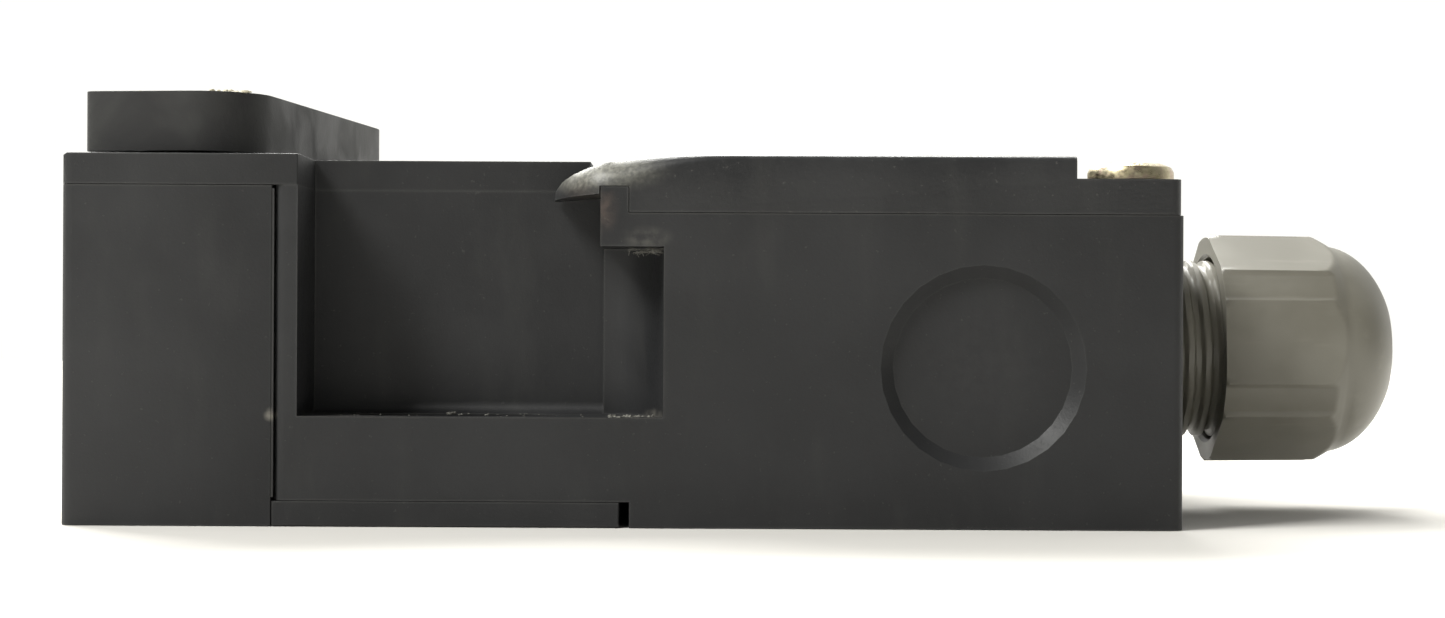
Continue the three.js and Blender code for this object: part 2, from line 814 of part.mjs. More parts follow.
function terminalLid() {
  const wide = halfWidth + 1;
  const hornTip = lidEdge - hornReach;
  const hornRoot = pocketEnd - looseGap;
  const inner = waistHalf + fitGap;
  const droop = shapeFrom([
    [hornTip, lidSeat - 1],
    [stepX, lidSeat - 1],
    [stepX, headTop + restGap],
    [hornRoot, headTop + restGap],
    [hornRoot, headTop - hornDroop + hornRise],
    [hornTip, headTop - hornDroop],
  ]);
  const underStep = prismY(droop, -wide, wide);
  const overWaist = block(lidEdge - 1, stepX, -inner, inner, lidSeat - 1, headTop + restGap);
  const shelf = block(shelfStart, bodyEnd + 1, -wide, wide, shelfTop, lidTop + 1);
  const inside = cut(
    block(
      stepX + lidSkirt,
      lidEnd - lidSkirt,
      -halfWidth + lidSkirt,
      halfWidth - lidSkirt,
      lidSeat - 1,
      lidTop - lidSkin,
    ),
    ...sides.map((side) => pillar(side)),
  );
  const holes = sides.map((side) => bar(
    'z',
    lidScrewRadius + screwClearance,
    lidSeat - 1,
    shelfTop + 1,
    [lidScrewX, side * lidScrewY],
  ));
  const seatGap = block(stepX - 1, bodyEnd + 1, -wide, wide, lidSeat - 1, lidSeat + restGap);
  return cut(lidBlank(), aboveNose(), underStep, overWaist, shelf, inside, seatGap, ...holes);
}

// Space above the lid's front, whose top falls to the horns' tips in a quarter ellipse.
function aboveNose() {
  const wide = halfWidth + 1;
  const hornTip = lidEdge - hornReach;
  const noseEnd = hornTip + noseLength;
  const quarter = Math.PI / 2;
  const slope = arc(noseEnd, lidTop - noseDrop, noseLength, noseDrop, quarter, 2 * quarter, 8);
  const profile = shapeFrom([[noseEnd, lidTop + 1], ...slope, [hornTip - 1, lidTop - noseDrop], [hornTip - 1, lidTop + 1]]);
  return prismY(profile, -wide, wide);
}

// Solid corner of the lid around a screw.
function pillar(side) {
  const reach = lidScrewRadius + 1;
  const edge = lidScrewY - reach;
  const near = side < 0 ? -halfWidth - 1 : edge;
  const far = side < 0 ? -edge : halfWidth + 1;
  return block(lidScrewX - reach, bodyEnd + 1, near, far, lidSeat - 1, lidTop);
}

// Flat rubber ring between the housing's rim and the lid; it steps in around the screws.
function lidGasket() {
  const clear = lidSkirt + fitGap;
  const jog = lidScrewRadius + 1 + fitGap;
  const ring = (inset) => shapeFrom([
    [stepX + clear + inset, -halfWidth + clear + inset],
    [lidScrewX - jog - inset, -halfWidth + clear + inset],
    [lidScrewX - jog - inset, -lidScrewY + jog + inset],
    [lidEnd - clear - inset, -lidScrewY + jog + inset],
    [lidEnd - clear - inset, lidScrewY - jog - inset],
    [lidScrewX - jog - inset, lidScrewY - jog - inset],
    [lidScrewX - jog - inset, halfWidth - clear - inset],
    [stepX + clear + inset, halfWidth - clear - inset],
  ]);
  const bottom = lidSeat + restGap;
  const top = lidTop - lidSkin - restGap;
  return cut(prismZ(ring(0), bottom, top), prismZ(ring(gasketWidth), bottom - 1, top + 1));
}

// Slotted cheese-head screw, shallow domed, held captive in the lid's shelf.
function lidScrew(side) {
  const place = [lidScrewX, side * lidScrewY];
  const bottom = shelfTop + restGap;
  const top = bottom + lidScrewHeadHeight;
  const head = turned('z', [
    [0, bottom],
    [lidScrewHeadRadius, bottom],
    [lidScrewHeadRadius, top - lidScrewDome],
    [lidScrewHeadRadius - 0.3 * lidScrewDome, top - 0.4 * lidScrewDome],
    [lidScrewHeadRadius - 1.4 * lidScrewDome, top],
    [0, top],
  ], place);
  const shank = bar('z', lidScrewRadius, lidSeat - lidScrewDepth, bottom + restGap, place);
  return cut(join(head, shank), crossRecess(place, top, lidScrewHeadRadius));
}

// ---------------------------------------------------------------- key

// The key's own frame: its tongue's middle is at the origin, and its length runs along Y.
function keyBase() {
  const { x, y } = keyBaseOffset;
  const outline = roundedOutline(
    x - keyBaseWidth / 2,
    x + keyBaseWidth / 2,
    y - keyBaseLength / 2,
    y + keyBaseLength / 2,
    keyBaseSharpRadius,
    keyBaseRoundRadius,
    7,
  );
  const base = prismZ(shapeFrom(outline), keyBaseBottom, keyBaseTop);
  const socket = block(
    -tongueThickness / 2 - fitGap / 3,
    tongueThickness / 2 + fitGap / 3,
    -tongueWidth / 2 - fitGap / 3,
    tongueWidth / 2 + fitGap / 3,
    keyBaseBottom - 1,
    keyBaseBottom + tongueRoot + restGap,
  );
  const holes = sides.map((side) => bar(
    'z',
    sleeveRadius + fitGap / 3,
    keyBaseBottom - 1,
    keyBaseTop + 1,
    sleevePlace(side),
  ));
  return cut(base, socket, ...holes);
}

function sleevePlace(side) {
  return [keyBaseOffset.x, keyBaseOffset.y + (side * sleeveSpacing) / 2];
}

function keySleeve(side) {
  return sleeve(
    'z',
    sleeveBore,
    sleeveRadius,
    keyBaseBottom,
    keyBaseTop + sleeveProud,
    sleevePlace(side),
    coarse,
  );
}

// Steel tongue with the window that takes the drum's lug, and the cross bar below it.
function keyTongue() {
  const half = tongueThickness / 2;
  const tip = shapeFrom([
    [-tongueWidth / 2, keyBaseBottom + tongueRoot],
    [-tongueWidth / 2, tongueTip + 1],
    [-tongueWidth / 2 + 1, tongueTip],
    [tongueWidth / 2 - 1, tongueTip],
    [tongueWidth / 2, tongueTip + 1],
    [tongueWidth / 2, keyBaseBottom + tongueRoot],
  ]);
  const window = block(
    -half - 1,
    half + 1,
    -windowWidth / 2,
    windowWidth / 2,
    tongueTip + crossBar,
    axisHeight + windowTop,
  );
  return cut(prismX(tip, -half, half), window);
}

// ---------------------------------------------------------------- mechanism

// Drum seen along Y. Its lug points at the key; on the other side the rim rises evenly with the
// angle, so that the plunger's travel is in proportion to the drum's turn.
function camDrum() {
  const points = [];
  const step = Math.PI / 24;
  for (let angle = -Math.PI / 6; angle < Math.PI - 0.3; angle += step) {
    const share = THREE.MathUtils.clamp(angle / drumTurn, 0, 1);
    const rise = drumLowRadius + stroke * share;
    points.push([drumX + rise * Math.cos(angle), axisHeight + rise * Math.sin(angle)]);
  }
  const rootHalf = Math.asin(lugHeight / 2 / drumRadius);
  const tipHalf = Math.asin(lugTipHeight / 2 / lugTip);
  const lug = [[-rootHalf, drumRadius], [-tipHalf, lugTip], [tipHalf, lugTip], [rootHalf, drumRadius]];
  for (const [turn, radius] of lug) {
    const angle = Math.PI + turn;
    points.push([drumX + radius * Math.cos(angle), axisHeight + radius * Math.sin(angle)]);
  }
  for (let angle = Math.PI + 0.3; angle < 1.5 * Math.PI; angle += step) {
    points.push([drumX + drumRadius * Math.cos(angle), axisHeight + drumRadius * Math.sin(angle)]);
  }
  const rim = prismY(shapeFrom(points), -drumWidth / 2, drumWidth / 2);
  const bore = bar('y', axleRadius + runningGap, -drumWidth, drumWidth, [drumX, axisHeight], coarse);
  return cut(rim, bore);
}

function drumAxle() {
  const half = headCavityWidth / 2 + axleSeat - restGap;
  return bar('y', axleRadius, -half, half, [drumX, axisHeight], coarse);
}

// Round-nosed rod that carries the drum's push through the housing's wall.
function plunger() {
  return turned('x', [
    [0, plungerTip],
    [plungerRadius * 0.3, plungerTip + plungerNose * 0.1],
    [plungerRadius * 0.5, plungerTip + plungerNose * 0.33],
    [plungerRadius, plungerTip + plungerNose],
    [plungerRadius, plungerEnd],
    [0, plungerEnd],
  ], [0, axisHeight], coarse);
}

// Rubber ring that wipes the plunger where it enters the contact chamber.
function plungerSeal() {
  const start = chamberStart + fitGap;
  const outer = collarRadius - 2 * fitGap;
  return sleeve('x', plungerRadius + looseGap, outer, start, start + sealThickness, [0, axisHeight], coarse);
}

// Sliding stem with a collar at its start, one between the springs and a clip after the second
// bridge.
function contactCarrier() {
  const start = plungerEnd + fitGap;
  const place = [0, axisHeight];
  return join(
    bar('x', stemRadius, start, clip + collarThickness + stemEndLength, place, coarse),
    bar('x', collarRadius, start, start + collarThickness, place, coarse),
    bar('x', collarRadius - 0.8, midCollar, midCollar + collarThickness, place, coarse),
    bar('x', collarRadius - 1, clip, clip + collarThickness, place, coarse),
  );
}

// Contact bridge: a strip across the stem with a round contact at each end.
function contactBridge(x, half, contactSide) {
  const strip = block(
    x,
    x + bridgeThickness,
    -half,
    half,
    axisHeight - bridgeHeight / 2,
    axisHeight + bridgeHeight / 2,
  );
  const root = bridgeThickness / 4;
  const face = contactSide < 0
    ? [x - contactGap / 2, x + root]
    : [x + bridgeThickness - root, x + bridgeThickness + contactGap / 2];
  const buttons = sides.map((side) => bar(
    'x',
    contactRadius,
    face[0],
    face[1],
    [side * (half - contactRadius - bridgeSideGap), axisHeight],
    coarse,
  ));
  const hole = bar('x', stemRadius + 0.15, x - 1, x + bridgeThickness + 1, [0, axisHeight], coarse);
  return cut(join(strip, ...buttons), hole);
}

// Fixed contact: a tab behind the bridge, a strip through the partition, a cross piece that leads
// it to its terminal's edge and a screw terminal.
function fixedContact(side, tabX, stripY, terminalY) {
  const low = terminalBottom;
  const high = terminalBottom + bridgeHeight;
  const half = stripThickness / 2;
  const padHalf = terminalWidth / 2;
  const landingY = THREE.MathUtils.clamp(stripY, terminalY - padHalf + half, terminalY + padHalf - half);
  const jogEnd = jogStart + stripThickness;
  const across = (x0, x1, from, to, z1) => {
    const [y0, y1] = side < 0 ? [-to, -from] : [from, to];
    return block(x0, x1, y0, y1, low, z1);
  };
  const pieces = join(
    across(tabX, tabX + stripThickness, collarRadius + tabClearance, stripY + half, high),
    across(tabX, jogEnd, stripY - half, stripY + half, high),
    across(jogStart, jogEnd, Math.min(stripY, landingY) - half, Math.max(stripY, landingY) + half, high),
    across(jogStart, terminalStart + stripLap, landingY - half, landingY + half, high),
    across(terminalStart, terminalStart + terminalLength, terminalY - padHalf, terminalY + padHalf,
      low + stripThickness),
  );
  const hole = bar('z', terminalScrewRadius + screwClearance, low - 1, low + 2,
    [terminalScrewX, side * terminalY], coarse);
  return cut(pieces, hole);
}

// Open tray that holds the fixed contacts and guides the stem.
function contactBlock() {
  const x0 = chamberStart + sealThickness + 2 * fitGap;
  const x1 = chamberEnd - fitGap;
  const y = chamberHalf - fitGap;
  const z0 = plateThickness + fitGap;
  const side = trayWall;
  const top = axisHeight + trayRise;
  const tray = cut(
    block(x0, x1, -y, y, z0, top),
    block(x0 + side, x1 - side, -y + side, y - side, z0 + trayFloor, top + 1),
    bar('x', collarRadius - fitGap, x0 - 1, x1 + 1, [0, axisHeight], coarse),
  );
  const slots = [ncStripY, noStripY].flatMap((stripY) => sides.map((mirror) => {
    const half = stripThickness / 2 + fitGap / 2;
    return block(
      x1 - side - 1,
      x1 + 1,
      mirror * stripY - half,
      mirror * stripY + half,
      terminalBottom - fitGap / 2,
      top + 1,
    );
  }));
  return cut(tray, ...slots);
}

function terminalClamp(y) {
  const bottom = terminalBottom + stripThickness + restGap;
  const half = clampSize / 2;
  const plate = block(
    terminalScrewX - half,
    terminalScrewX + half,
    y - half + screwClearance,
    y + half - screwClearance,
    bottom,
    bottom + clampThickness,
  );
  const hole = bar('z', terminalScrewRadius + screwClearance, bottom - 1, bottom + 2, [terminalScrewX, y], coarse);
  return cut(plate, hole);
}

function terminalScrew(y) {
  const bottom = terminalBottom + stripThickness + clampThickness + 2 * restGap;
  const top = bottom + terminalHeadHeight;
  const place = [terminalScrewX, y];
  const head = bar('z', terminalHeadRadius, bottom, top, place, coarse);
  const shank = bar('z', terminalScrewRadius, postTop - terminalScrewDepth + 1, bottom + 1, place, coarse);
  return cut(join(head, shank), crossRecess(place, top, terminalHeadRadius));
}

// ---------------------------------------------------------------- cable gland

const glandPlace = [0, glandHeight];

// Threaded tube through the end wall, with a slotted clamping cage at its outer end.
function glandBody() {
  const root = glandThreadRadius - glandThreadDepth;
  const start = boxEnd - glandInside;
  const profile = [[glandBore, start], [glandThreadRadius, start], [glandThreadRadius, bodyEnd]];
  for (let x = bodyEnd; x + glandPitch < nutStart + glandPitch; x += glandPitch) {
    profile.push(
      [root, x + glandPitch * 0.3],
      [root, x + glandPitch * 0.5],
      [glandThreadRadius, x + glandPitch * 0.8],
      [glandThreadRadius, x + glandPitch],
    );
  }
  profile.push(
    [root, threadEnd],
    [root - cageTaper, cageEnd],
    [glandBore, cageEnd],
    [glandBore, start],
  );
  const tube = turned('x', profile, glandPlace, medium);
  const slots = [];
  for (let i = 0; i < cageSlots; i += 1) {
    const slot = new THREE.BoxGeometry(cageLength, cageSlotWidth, glandThreadRadius);
    slot.translate(threadEnd + cageLength / 2 + 1, 0, glandThreadRadius / 2 + 1);
    slot.rotateX((2 * Math.PI * i) / cageSlots);
    slot.translate(0, 0, glandHeight);
    slots.push(solid(slot));
  }
  return cut(tube, ...slots);
}

function glandLocknut() {
  const end = boxEnd - restGap;
  const start = end - locknutThickness;
  const corner = glandThreadRadius + locknutRim;
  const hexagon = new THREE.CylinderGeometry(corner, corner, locknutThickness, 6);
  hexagon.rotateZ(-Math.PI / 2);
  hexagon.rotateX(Math.PI / 6);
  hexagon.translate((start + end) / 2, 0, glandHeight);
  return cut(solid(hexagon), bar('x', glandThreadRadius + looseGap, start - 1, end + 1, glandPlace, medium));
}

function glandRing() {
  const radius = glandThreadRadius + ringSection + looseGap;
  const geometry = new THREE.TorusGeometry(radius, ringSection, 8, medium);
  geometry.rotateY(Math.PI / 2);
  geometry.translate(bodyEnd - ringSection - restGap, 0, glandHeight);
  return solid(geometry);
}

// Rubber sleeve that closes on the cable.
function glandSeal() {
  const end = cageEnd;
  return sleeve('x', sealBore, glandBore - looseGap, end - sealLength, end, glandPlace, medium);
}

// Domed clamping nut: a slightly tapered hexagon with rounded corners and a half-round end.
function glandNut() {
  const corner = nutAcrossFlats / 2 / Math.cos(Math.PI / 6);
  const taper = nutTaper / Math.cos(Math.PI / 6);
  const length = nutEnd - nutStart;
  const hexagon = new THREE.CylinderGeometry(corner - taper, corner + taper, length, 6);
  hexagon.rotateZ(-Math.PI / 2);
  hexagon.rotateX(nutTwist);
  hexagon.translate((nutStart + nutEnd) / 2, 0, glandHeight);
  const quarter = Math.PI / 2;
  const domeRadius = nutCornerRadius - domeStep;
  const domeReach = domeLength / Math.sqrt(1 - (domeMouth / domeRadius) ** 2);
  const mouthAngle = Math.acos(domeMouth / domeRadius);
  const dome = arc(0, hexEnd, domeRadius, domeReach, 0, mouthAngle, 8);
  const profile = [
    [0, nutStart],
    [nutCornerRadius - nutChamfer, nutStart],
    [nutCornerRadius, nutStart + nutChamfer],
    [nutCornerRadius - nutTaper, hexEnd - 1],
    ...dome,
    [0, nutEnd],
  ];
  const outside = turned('x', profile, glandPlace, fine);
  const bore = glandThreadRadius + fitGap;
  const mouth = domeMouth - 0.2;
  const inside = turned('x', [
    [0, nutStart - 1],
    [bore + 0.9, nutStart - 1],
    [bore + 0.9, nutStart + 0.4],
    [bore, nutStart + 1.4],
    [bore, threadEnd + 2.4],
    [bore - 1.6, cageEnd + 0.8],
    [mouth, cageEnd + 1],
    [mouth, nutEnd + 1],
    [0, nutEnd + 1],
  ], glandPlace, medium);
  const domed = outside.intersect(join(solid(hexagon), bar('x', corner, hexEnd, nutEnd + 1, glandPlace)));
  return cut(domed, inside);
}

// ---------------------------------------------------------------- assembly

// A solid as a named mesh in a material of its own.
function piece(name, body, material) {
  const mesh = body.getMesh();
  const geometry = new THREE.BufferGeometry();
  geometry.setAttribute('position', new THREE.BufferAttribute(mesh.vertProperties, 3));
  geometry.setIndex(new THREE.BufferAttribute(mesh.triVerts, 1));
  geometry.computeVertexNormals();
  const result = new THREE.Mesh(geometry, material);
  result.name = name;
  return result;
}

const endNames = { [-1]: 'front', 1: 'rear' };

function bodyPieces() {
  return [
    piece('housing', housing(), blackPlastic()),
    piece('bottom_plate', bottomPlate(), blackPlastic()),
    piece('head_block', headBlock(), blackPlastic()),
    piece('head_cover', headCover(), blackPlastic()),
    ...coverScrewPlaces().map((place, i) => piece(`cover_screw_${i + 1}`, coverScrew(place), steel())),
  ];
}

function lidPieces() {
  return [
    piece('terminal_lid', terminalLid(), blackPlastic()),
    piece('lid_gasket', lidGasket(), blackRubber()),
    ...sides.map((side) => piece(`lid_screw_${endNames[side]}`, lidScrew(side), passivated())),
  ];
}

// The key, turned a little in its slot.
function keyPieces() {
  const key = new THREE.Group();
  key.position.set(tongueX, 0, 0);
  key.rotation.z = -keyTwist;
  key.add(
    piece('key_base', keyBase(), blackRubber()),
    piece('key_tongue', keyTongue(), steel()),
    ...sides.map((side) => piece(`key_sleeve_${endNames[side]}`, keySleeve(side), steel())),
  );
  return key;
}

function mechanismPieces() {
  const start = chamberEnd + springCupDepth - fitGap;
  const ncSpringFrom = ncBridge + bridgeThickness + fitGap;
  const noSpringFrom = midCollar + collarThickness + fitGap;
  const springRadius = stemRadius + wireRadius + springClearance;
  return [
    piece('cam_drum', camDrum(), redPlastic()),
    piece('drum_axle', drumAxle(), steel()),
    piece('plunger', plunger(), steel()),
    piece('plunger_seal', plungerSeal(), blackRubber()),
    piece('contact_carrier', contactCarrier(), creamPlastic()),
    piece('contact_bridge_nc', contactBridge(ncBridge, bridgeHalfNc, -1), brass()),
    piece('contact_bridge_no', contactBridge(noBridge, bridgeHalfNo, 1), brass()),
    piece(
      'contact_spring_nc',
      coilSpring(springRadius, ncSpringFrom, ncSpringFrom + contactSpringLength, contactTurns),
      springSteel(),
    ),
    piece(
      'contact_spring_no',
      coilSpring(springRadius, noSpringFrom, noSpringFrom + contactSpringLength, contactTurns),
      springSteel(),
    ),
    piece(
      'return_spring',
      coilSpring(springRadius + 2 * springClearance, returnSpringStart, start, returnTurns),
      springSteel(),
    ),
    piece('contact_block', contactBlock(), creamPlastic()),
  ];
}

function terminalPieces() {
  const kinds = [
    { kind: 'nc', tab: ncTab, strip: ncStripY, y: ncTerminalY },
    { kind: 'no', tab: noTab, strip: noStripY, y: noTerminalY },
  ];
  return kinds.flatMap(({ kind, tab, strip, y }) => sides.flatMap((side) => {
    const label = `${kind}_${endNames[side]}`;
    return [
      piece(`fixed_contact_${label}`, fixedContact(side, tab, strip, y), brass()),
      piece(`terminal_clamp_${label}`, terminalClamp(side * y), passivated()),
      piece(`terminal_screw_${label}`, terminalScrew(side * y), passivated()),
    ];
  }));
}

function glandPieces() {
  return [
    piece('gland_body', glandBody(), greyNylon()),
    piece('gland_locknut', glandLocknut(), greyNylon()),
    piece('gland_ring', glandRing(), blackRubber()),
    piece('gland_seal', glandSeal(), blackRubber()),
    piece('gland_nut', glandNut(), greyNylon()),
  ];
}

const limitSwitch = new THREE.Group();
limitSwitch.add(
  ...bodyPieces(),
  ...lidPieces(),
  keyPieces(),
  ...mechanismPieces(),
  ...terminalPieces(),
  ...glandPieces(),
);

export default limitSwitch;
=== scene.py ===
"""Looks of the key-operated limit switch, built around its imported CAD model.

Every piece is the CAD solid with its edges rounded, apart from the gland's nut and threaded tube,
which are made again by formula at full detail. Dust, glue residue and fibres are small pieces of
their own. Lengths are in millimetres and mm() turns them into metres; the stage and the lights
alone are given in metres.
"""

import json
import math
import random

import bmesh
import bpy
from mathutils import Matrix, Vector


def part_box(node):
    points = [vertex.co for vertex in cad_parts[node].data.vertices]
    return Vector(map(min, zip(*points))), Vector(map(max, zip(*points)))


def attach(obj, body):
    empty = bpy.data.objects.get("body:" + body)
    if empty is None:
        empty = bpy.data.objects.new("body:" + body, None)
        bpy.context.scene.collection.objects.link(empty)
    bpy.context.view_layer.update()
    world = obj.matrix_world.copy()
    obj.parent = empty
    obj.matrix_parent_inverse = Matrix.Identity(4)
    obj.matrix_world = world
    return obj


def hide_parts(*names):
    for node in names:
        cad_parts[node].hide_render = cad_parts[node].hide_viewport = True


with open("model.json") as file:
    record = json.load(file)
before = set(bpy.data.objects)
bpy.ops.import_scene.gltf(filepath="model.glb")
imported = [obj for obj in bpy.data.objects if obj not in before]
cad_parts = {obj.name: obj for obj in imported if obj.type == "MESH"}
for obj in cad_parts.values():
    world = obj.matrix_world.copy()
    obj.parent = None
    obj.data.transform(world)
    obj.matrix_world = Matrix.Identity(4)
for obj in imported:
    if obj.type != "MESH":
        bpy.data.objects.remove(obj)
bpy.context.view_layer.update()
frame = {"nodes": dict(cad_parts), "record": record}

RECORD = frame["record"]
BODY_OF = {node: body for body, nodes in RECORD["behaviour"]["bodies"].items() for node in nodes}
SLOT_OF = {part["node"]: part["material_slot"] for part in RECORD["subparts"]}


def mm(value):
    return value / 1000.0


def cad_low(node):
    """Lowest corner of a CAD node in millimetres, to the micron."""
    return [round(value * 1000.0, 3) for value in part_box(node)[0]]


def cad_high(node):
    """Highest corner of a CAD node in millimetres, to the micron."""
    return [round(value * 1000.0, 3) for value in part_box(node)[1]]


NUT_LOW = cad_low("gland_nut")
NUT_HIGH = cad_high("gland_nut")
TUBE_LOW = cad_low("gland_body")
TUBE_HIGH = cad_high("gland_body")
COVER_LOW = cad_low("head_cover")
COVER_HIGH = cad_high("head_cover")
LID_LOW = cad_low("terminal_lid")
PLATE_HIGH = cad_high("bottom_plate")
HEAD_HIGH = cad_high("head_block")
KEY_HIGH = cad_high("key_base")

# ---------------------------------------------------------------- sizes, in millimetres

CAMERA_PLACE = (20.1, -225.0, 16.8)
CAMERA_SENSOR = 36.0
CAMERA_LENS = 62.035
CAMERA_SHIFT = (0.01557, 0.00623)  # shares of the sensor's width
CAMERA_ROLL = math.radians(-0.3)

GLAND_Z = (NUT_LOW[2] + NUT_HIGH[2]) / 2
NUT_START = NUT_LOW[0]
NUT_END = NUT_HIGH[0]
NUT_CORNER = (NUT_HIGH[2] - NUT_LOW[2]) / 2
NUT_FLAT = 9.48
NUT_TAPER = 0.08
NUT_POINTS = 360
NUT_TWIST = math.radians(4.0)
NUT_CHAMFER = 0.2
BAND_EDGE = math.radians(22.0)  # from the middle of a flat to the sunk band on the corner
BAND_STEP = math.radians(1.0)
BAND_SINK = 0.3
HEX_END = 75.9
HEX_STEPS = 8
FALL_BEFORE = 1.0  # the hexagon falls into the dome from here before its end
FALL_AFTER = 0.6  # to here after it
FALL_STEPS = 6
DOME_STEP = 0.9
DOME_MOUTH = 5.0
DOME_STEPS = 14
NUT_BORE_GAP = 0.3

THREAD_START = TUBE_LOW[0]
THREAD_END = 71.1
THREAD_RADIUS = (TUBE_HIGH[2] - TUBE_LOW[2]) / 2
THREAD_DEPTH = 0.55
THREAD_PITCH = 1.5
THREAD_POINTS = 96
STEPS_PER_PITCH = 10
GLAND_BORE = 5.6
CAGE_END = TUBE_HIGH[0]
CAGE_FINGERS = 6
CAGE_GAP = math.radians(6.0)
CAGE_STEPS = 8
CAGE_TIP_FALL = 1.5
CAGE_TIP_LENGTH = 1.2

GLUE_SINK = 0.04
POCKET_FLOOR = 8.8
DUST_SINK = 0.02
FIBRE_COUNT = 46
FIBRE_RADIUS = 0.018
FIBRE_POINTS = 5
FIBRE_STEP = 0.26


def place(x, y, z):
    return Vector((mm(x), mm(y), mm(z)))


# ---------------------------------------------------------------- node helpers

class Nodes:
    """A material's node tree with short ways to add and link nodes."""

    def __init__(self, name):
        self.material = bpy.data.materials.new(name)
        self.material.use_nodes = True
        self.tree = self.material.node_tree
        self.shader = self.tree.nodes["Principled BSDF"]
        self.coords = self.tree.nodes.new("ShaderNodeTexCoord").outputs["Object"]

    def add(self, kind, **settings):
        node = self.tree.nodes.new(kind)
        for key, value in settings.items():
            setattr(node, key, value)
        return node

    def link(self, source, target):
        self.tree.links.new(source, target)

    def put(self, value, socket):
        if isinstance(value, bpy.types.NodeSocket):
            self.link(value, socket)
        else:
            socket.default_value = value

    def noise(self, size_mm, detail=3.0, rough=0.5, stretch=None, distortion=0.0):
        """Noise from 0 to 1 with features of about that size."""
        node = self.add("ShaderNodeTexNoise")
        node.inputs["Scale"].default_value = 1.0 / mm(size_mm)
        node.inputs["Detail"].default_value = detail
        node.inputs["Roughness"].default_value = rough
        node.inputs["Distortion"].default_value = distortion
        source = self.coords
        if stretch:
            mapping = self.add("ShaderNodeMapping")
            mapping.inputs["Scale"].default_value = stretch
            self.link(source, mapping.inputs["Vector"])
            source = mapping.outputs["Vector"]
        self.link(source, node.inputs["Vector"])
        return node.outputs["Fac"]

    def ramp(self, value, low, high, to_low=0.0, to_high=1.0):
        """Maps low..high to to_low..to_high, with soft ends and nothing beyond them."""
        node = self.add("ShaderNodeMapRange", interpolation_type="SMOOTHSTEP")
        self.link(value, node.inputs["Value"])
        node.inputs["From Min"].default_value = low
        node.inputs["From Max"].default_value = high
        node.inputs["To Min"].default_value = to_low
        node.inputs["To Max"].default_value = to_high
        return node.outputs["Result"]

    def math(self, operation, a, b):
        node = self.add("ShaderNodeMath", operation=operation)
        self.put(a, node.inputs[0])
        self.put(b, node.inputs[1])
        return node.outputs["Value"]

    def mix(self, share, a, b):
        node = self.add("ShaderNodeMix", data_type="RGBA")
        self.put(share, node.inputs["Factor"])
        self.put(a, node.inputs["A"])
        self.put(b, node.inputs["B"])
        return node.outputs["Result"]

    def spot(self, centre, reach, ragged_mm=1.0, solid=0.0):
        """1 at a place on the object, falling to 0 at the given reach along X, Y and Z."""
        shift = self.add("ShaderNodeVectorMath", operation="SUBTRACT")
        self.link(self.coords, shift.inputs[0])
        shift.inputs[1].default_value = place(*centre)
        scale = self.add("ShaderNodeVectorMath", operation="DIVIDE")
        self.link(shift.outputs["Vector"], scale.inputs[0])
        scale.inputs[1].default_value = place(*reach)
        length = self.add("ShaderNodeVectorMath", operation="LENGTH")
        self.link(scale.outputs["Vector"], length.inputs[0])
        fall = self.ramp(length.outputs["Value"], 0.2, 1.0, 1.0, 0.0)
        ragged = self.ramp(self.noise(ragged_mm, 3.0), 0.3, 0.7, solid, 1.0)
        return self.math("MULTIPLY", fall, ragged)

    def edges(self, radius_mm):
        """1 along edges, where the rounded normal leaves the true one."""
        bevel = self.add("ShaderNodeBevel", samples=4)
        bevel.inputs["Radius"].default_value = mm(radius_mm)
        geometry = self.add("ShaderNodeNewGeometry")
        dot = self.add("ShaderNodeVectorMath", operation="DOT_PRODUCT")
        self.link(bevel.outputs["Normal"], dot.inputs[0])
        self.link(geometry.outputs["Normal"], dot.inputs[1])
        return self.ramp(dot.outputs["Value"], 0.97, 0.8, 0.0, 1.0)

    def bump(self, layers):
        """Chains bumps, each (height, depth in mm, strength)."""
        normal = None
        for height, depth_mm, strength in layers:
            node = self.add("ShaderNodeBump")
            node.inputs["Distance"].default_value = mm(depth_mm)
            node.inputs["Strength"].default_value = strength
            self.link(height, node.inputs["Height"])
            if normal:
                self.link(normal, node.inputs["Normal"])
            normal = node.outputs["Normal"]
        self.link(normal, self.shader.inputs["Normal"])


# ---------------------------------------------------------------- materials

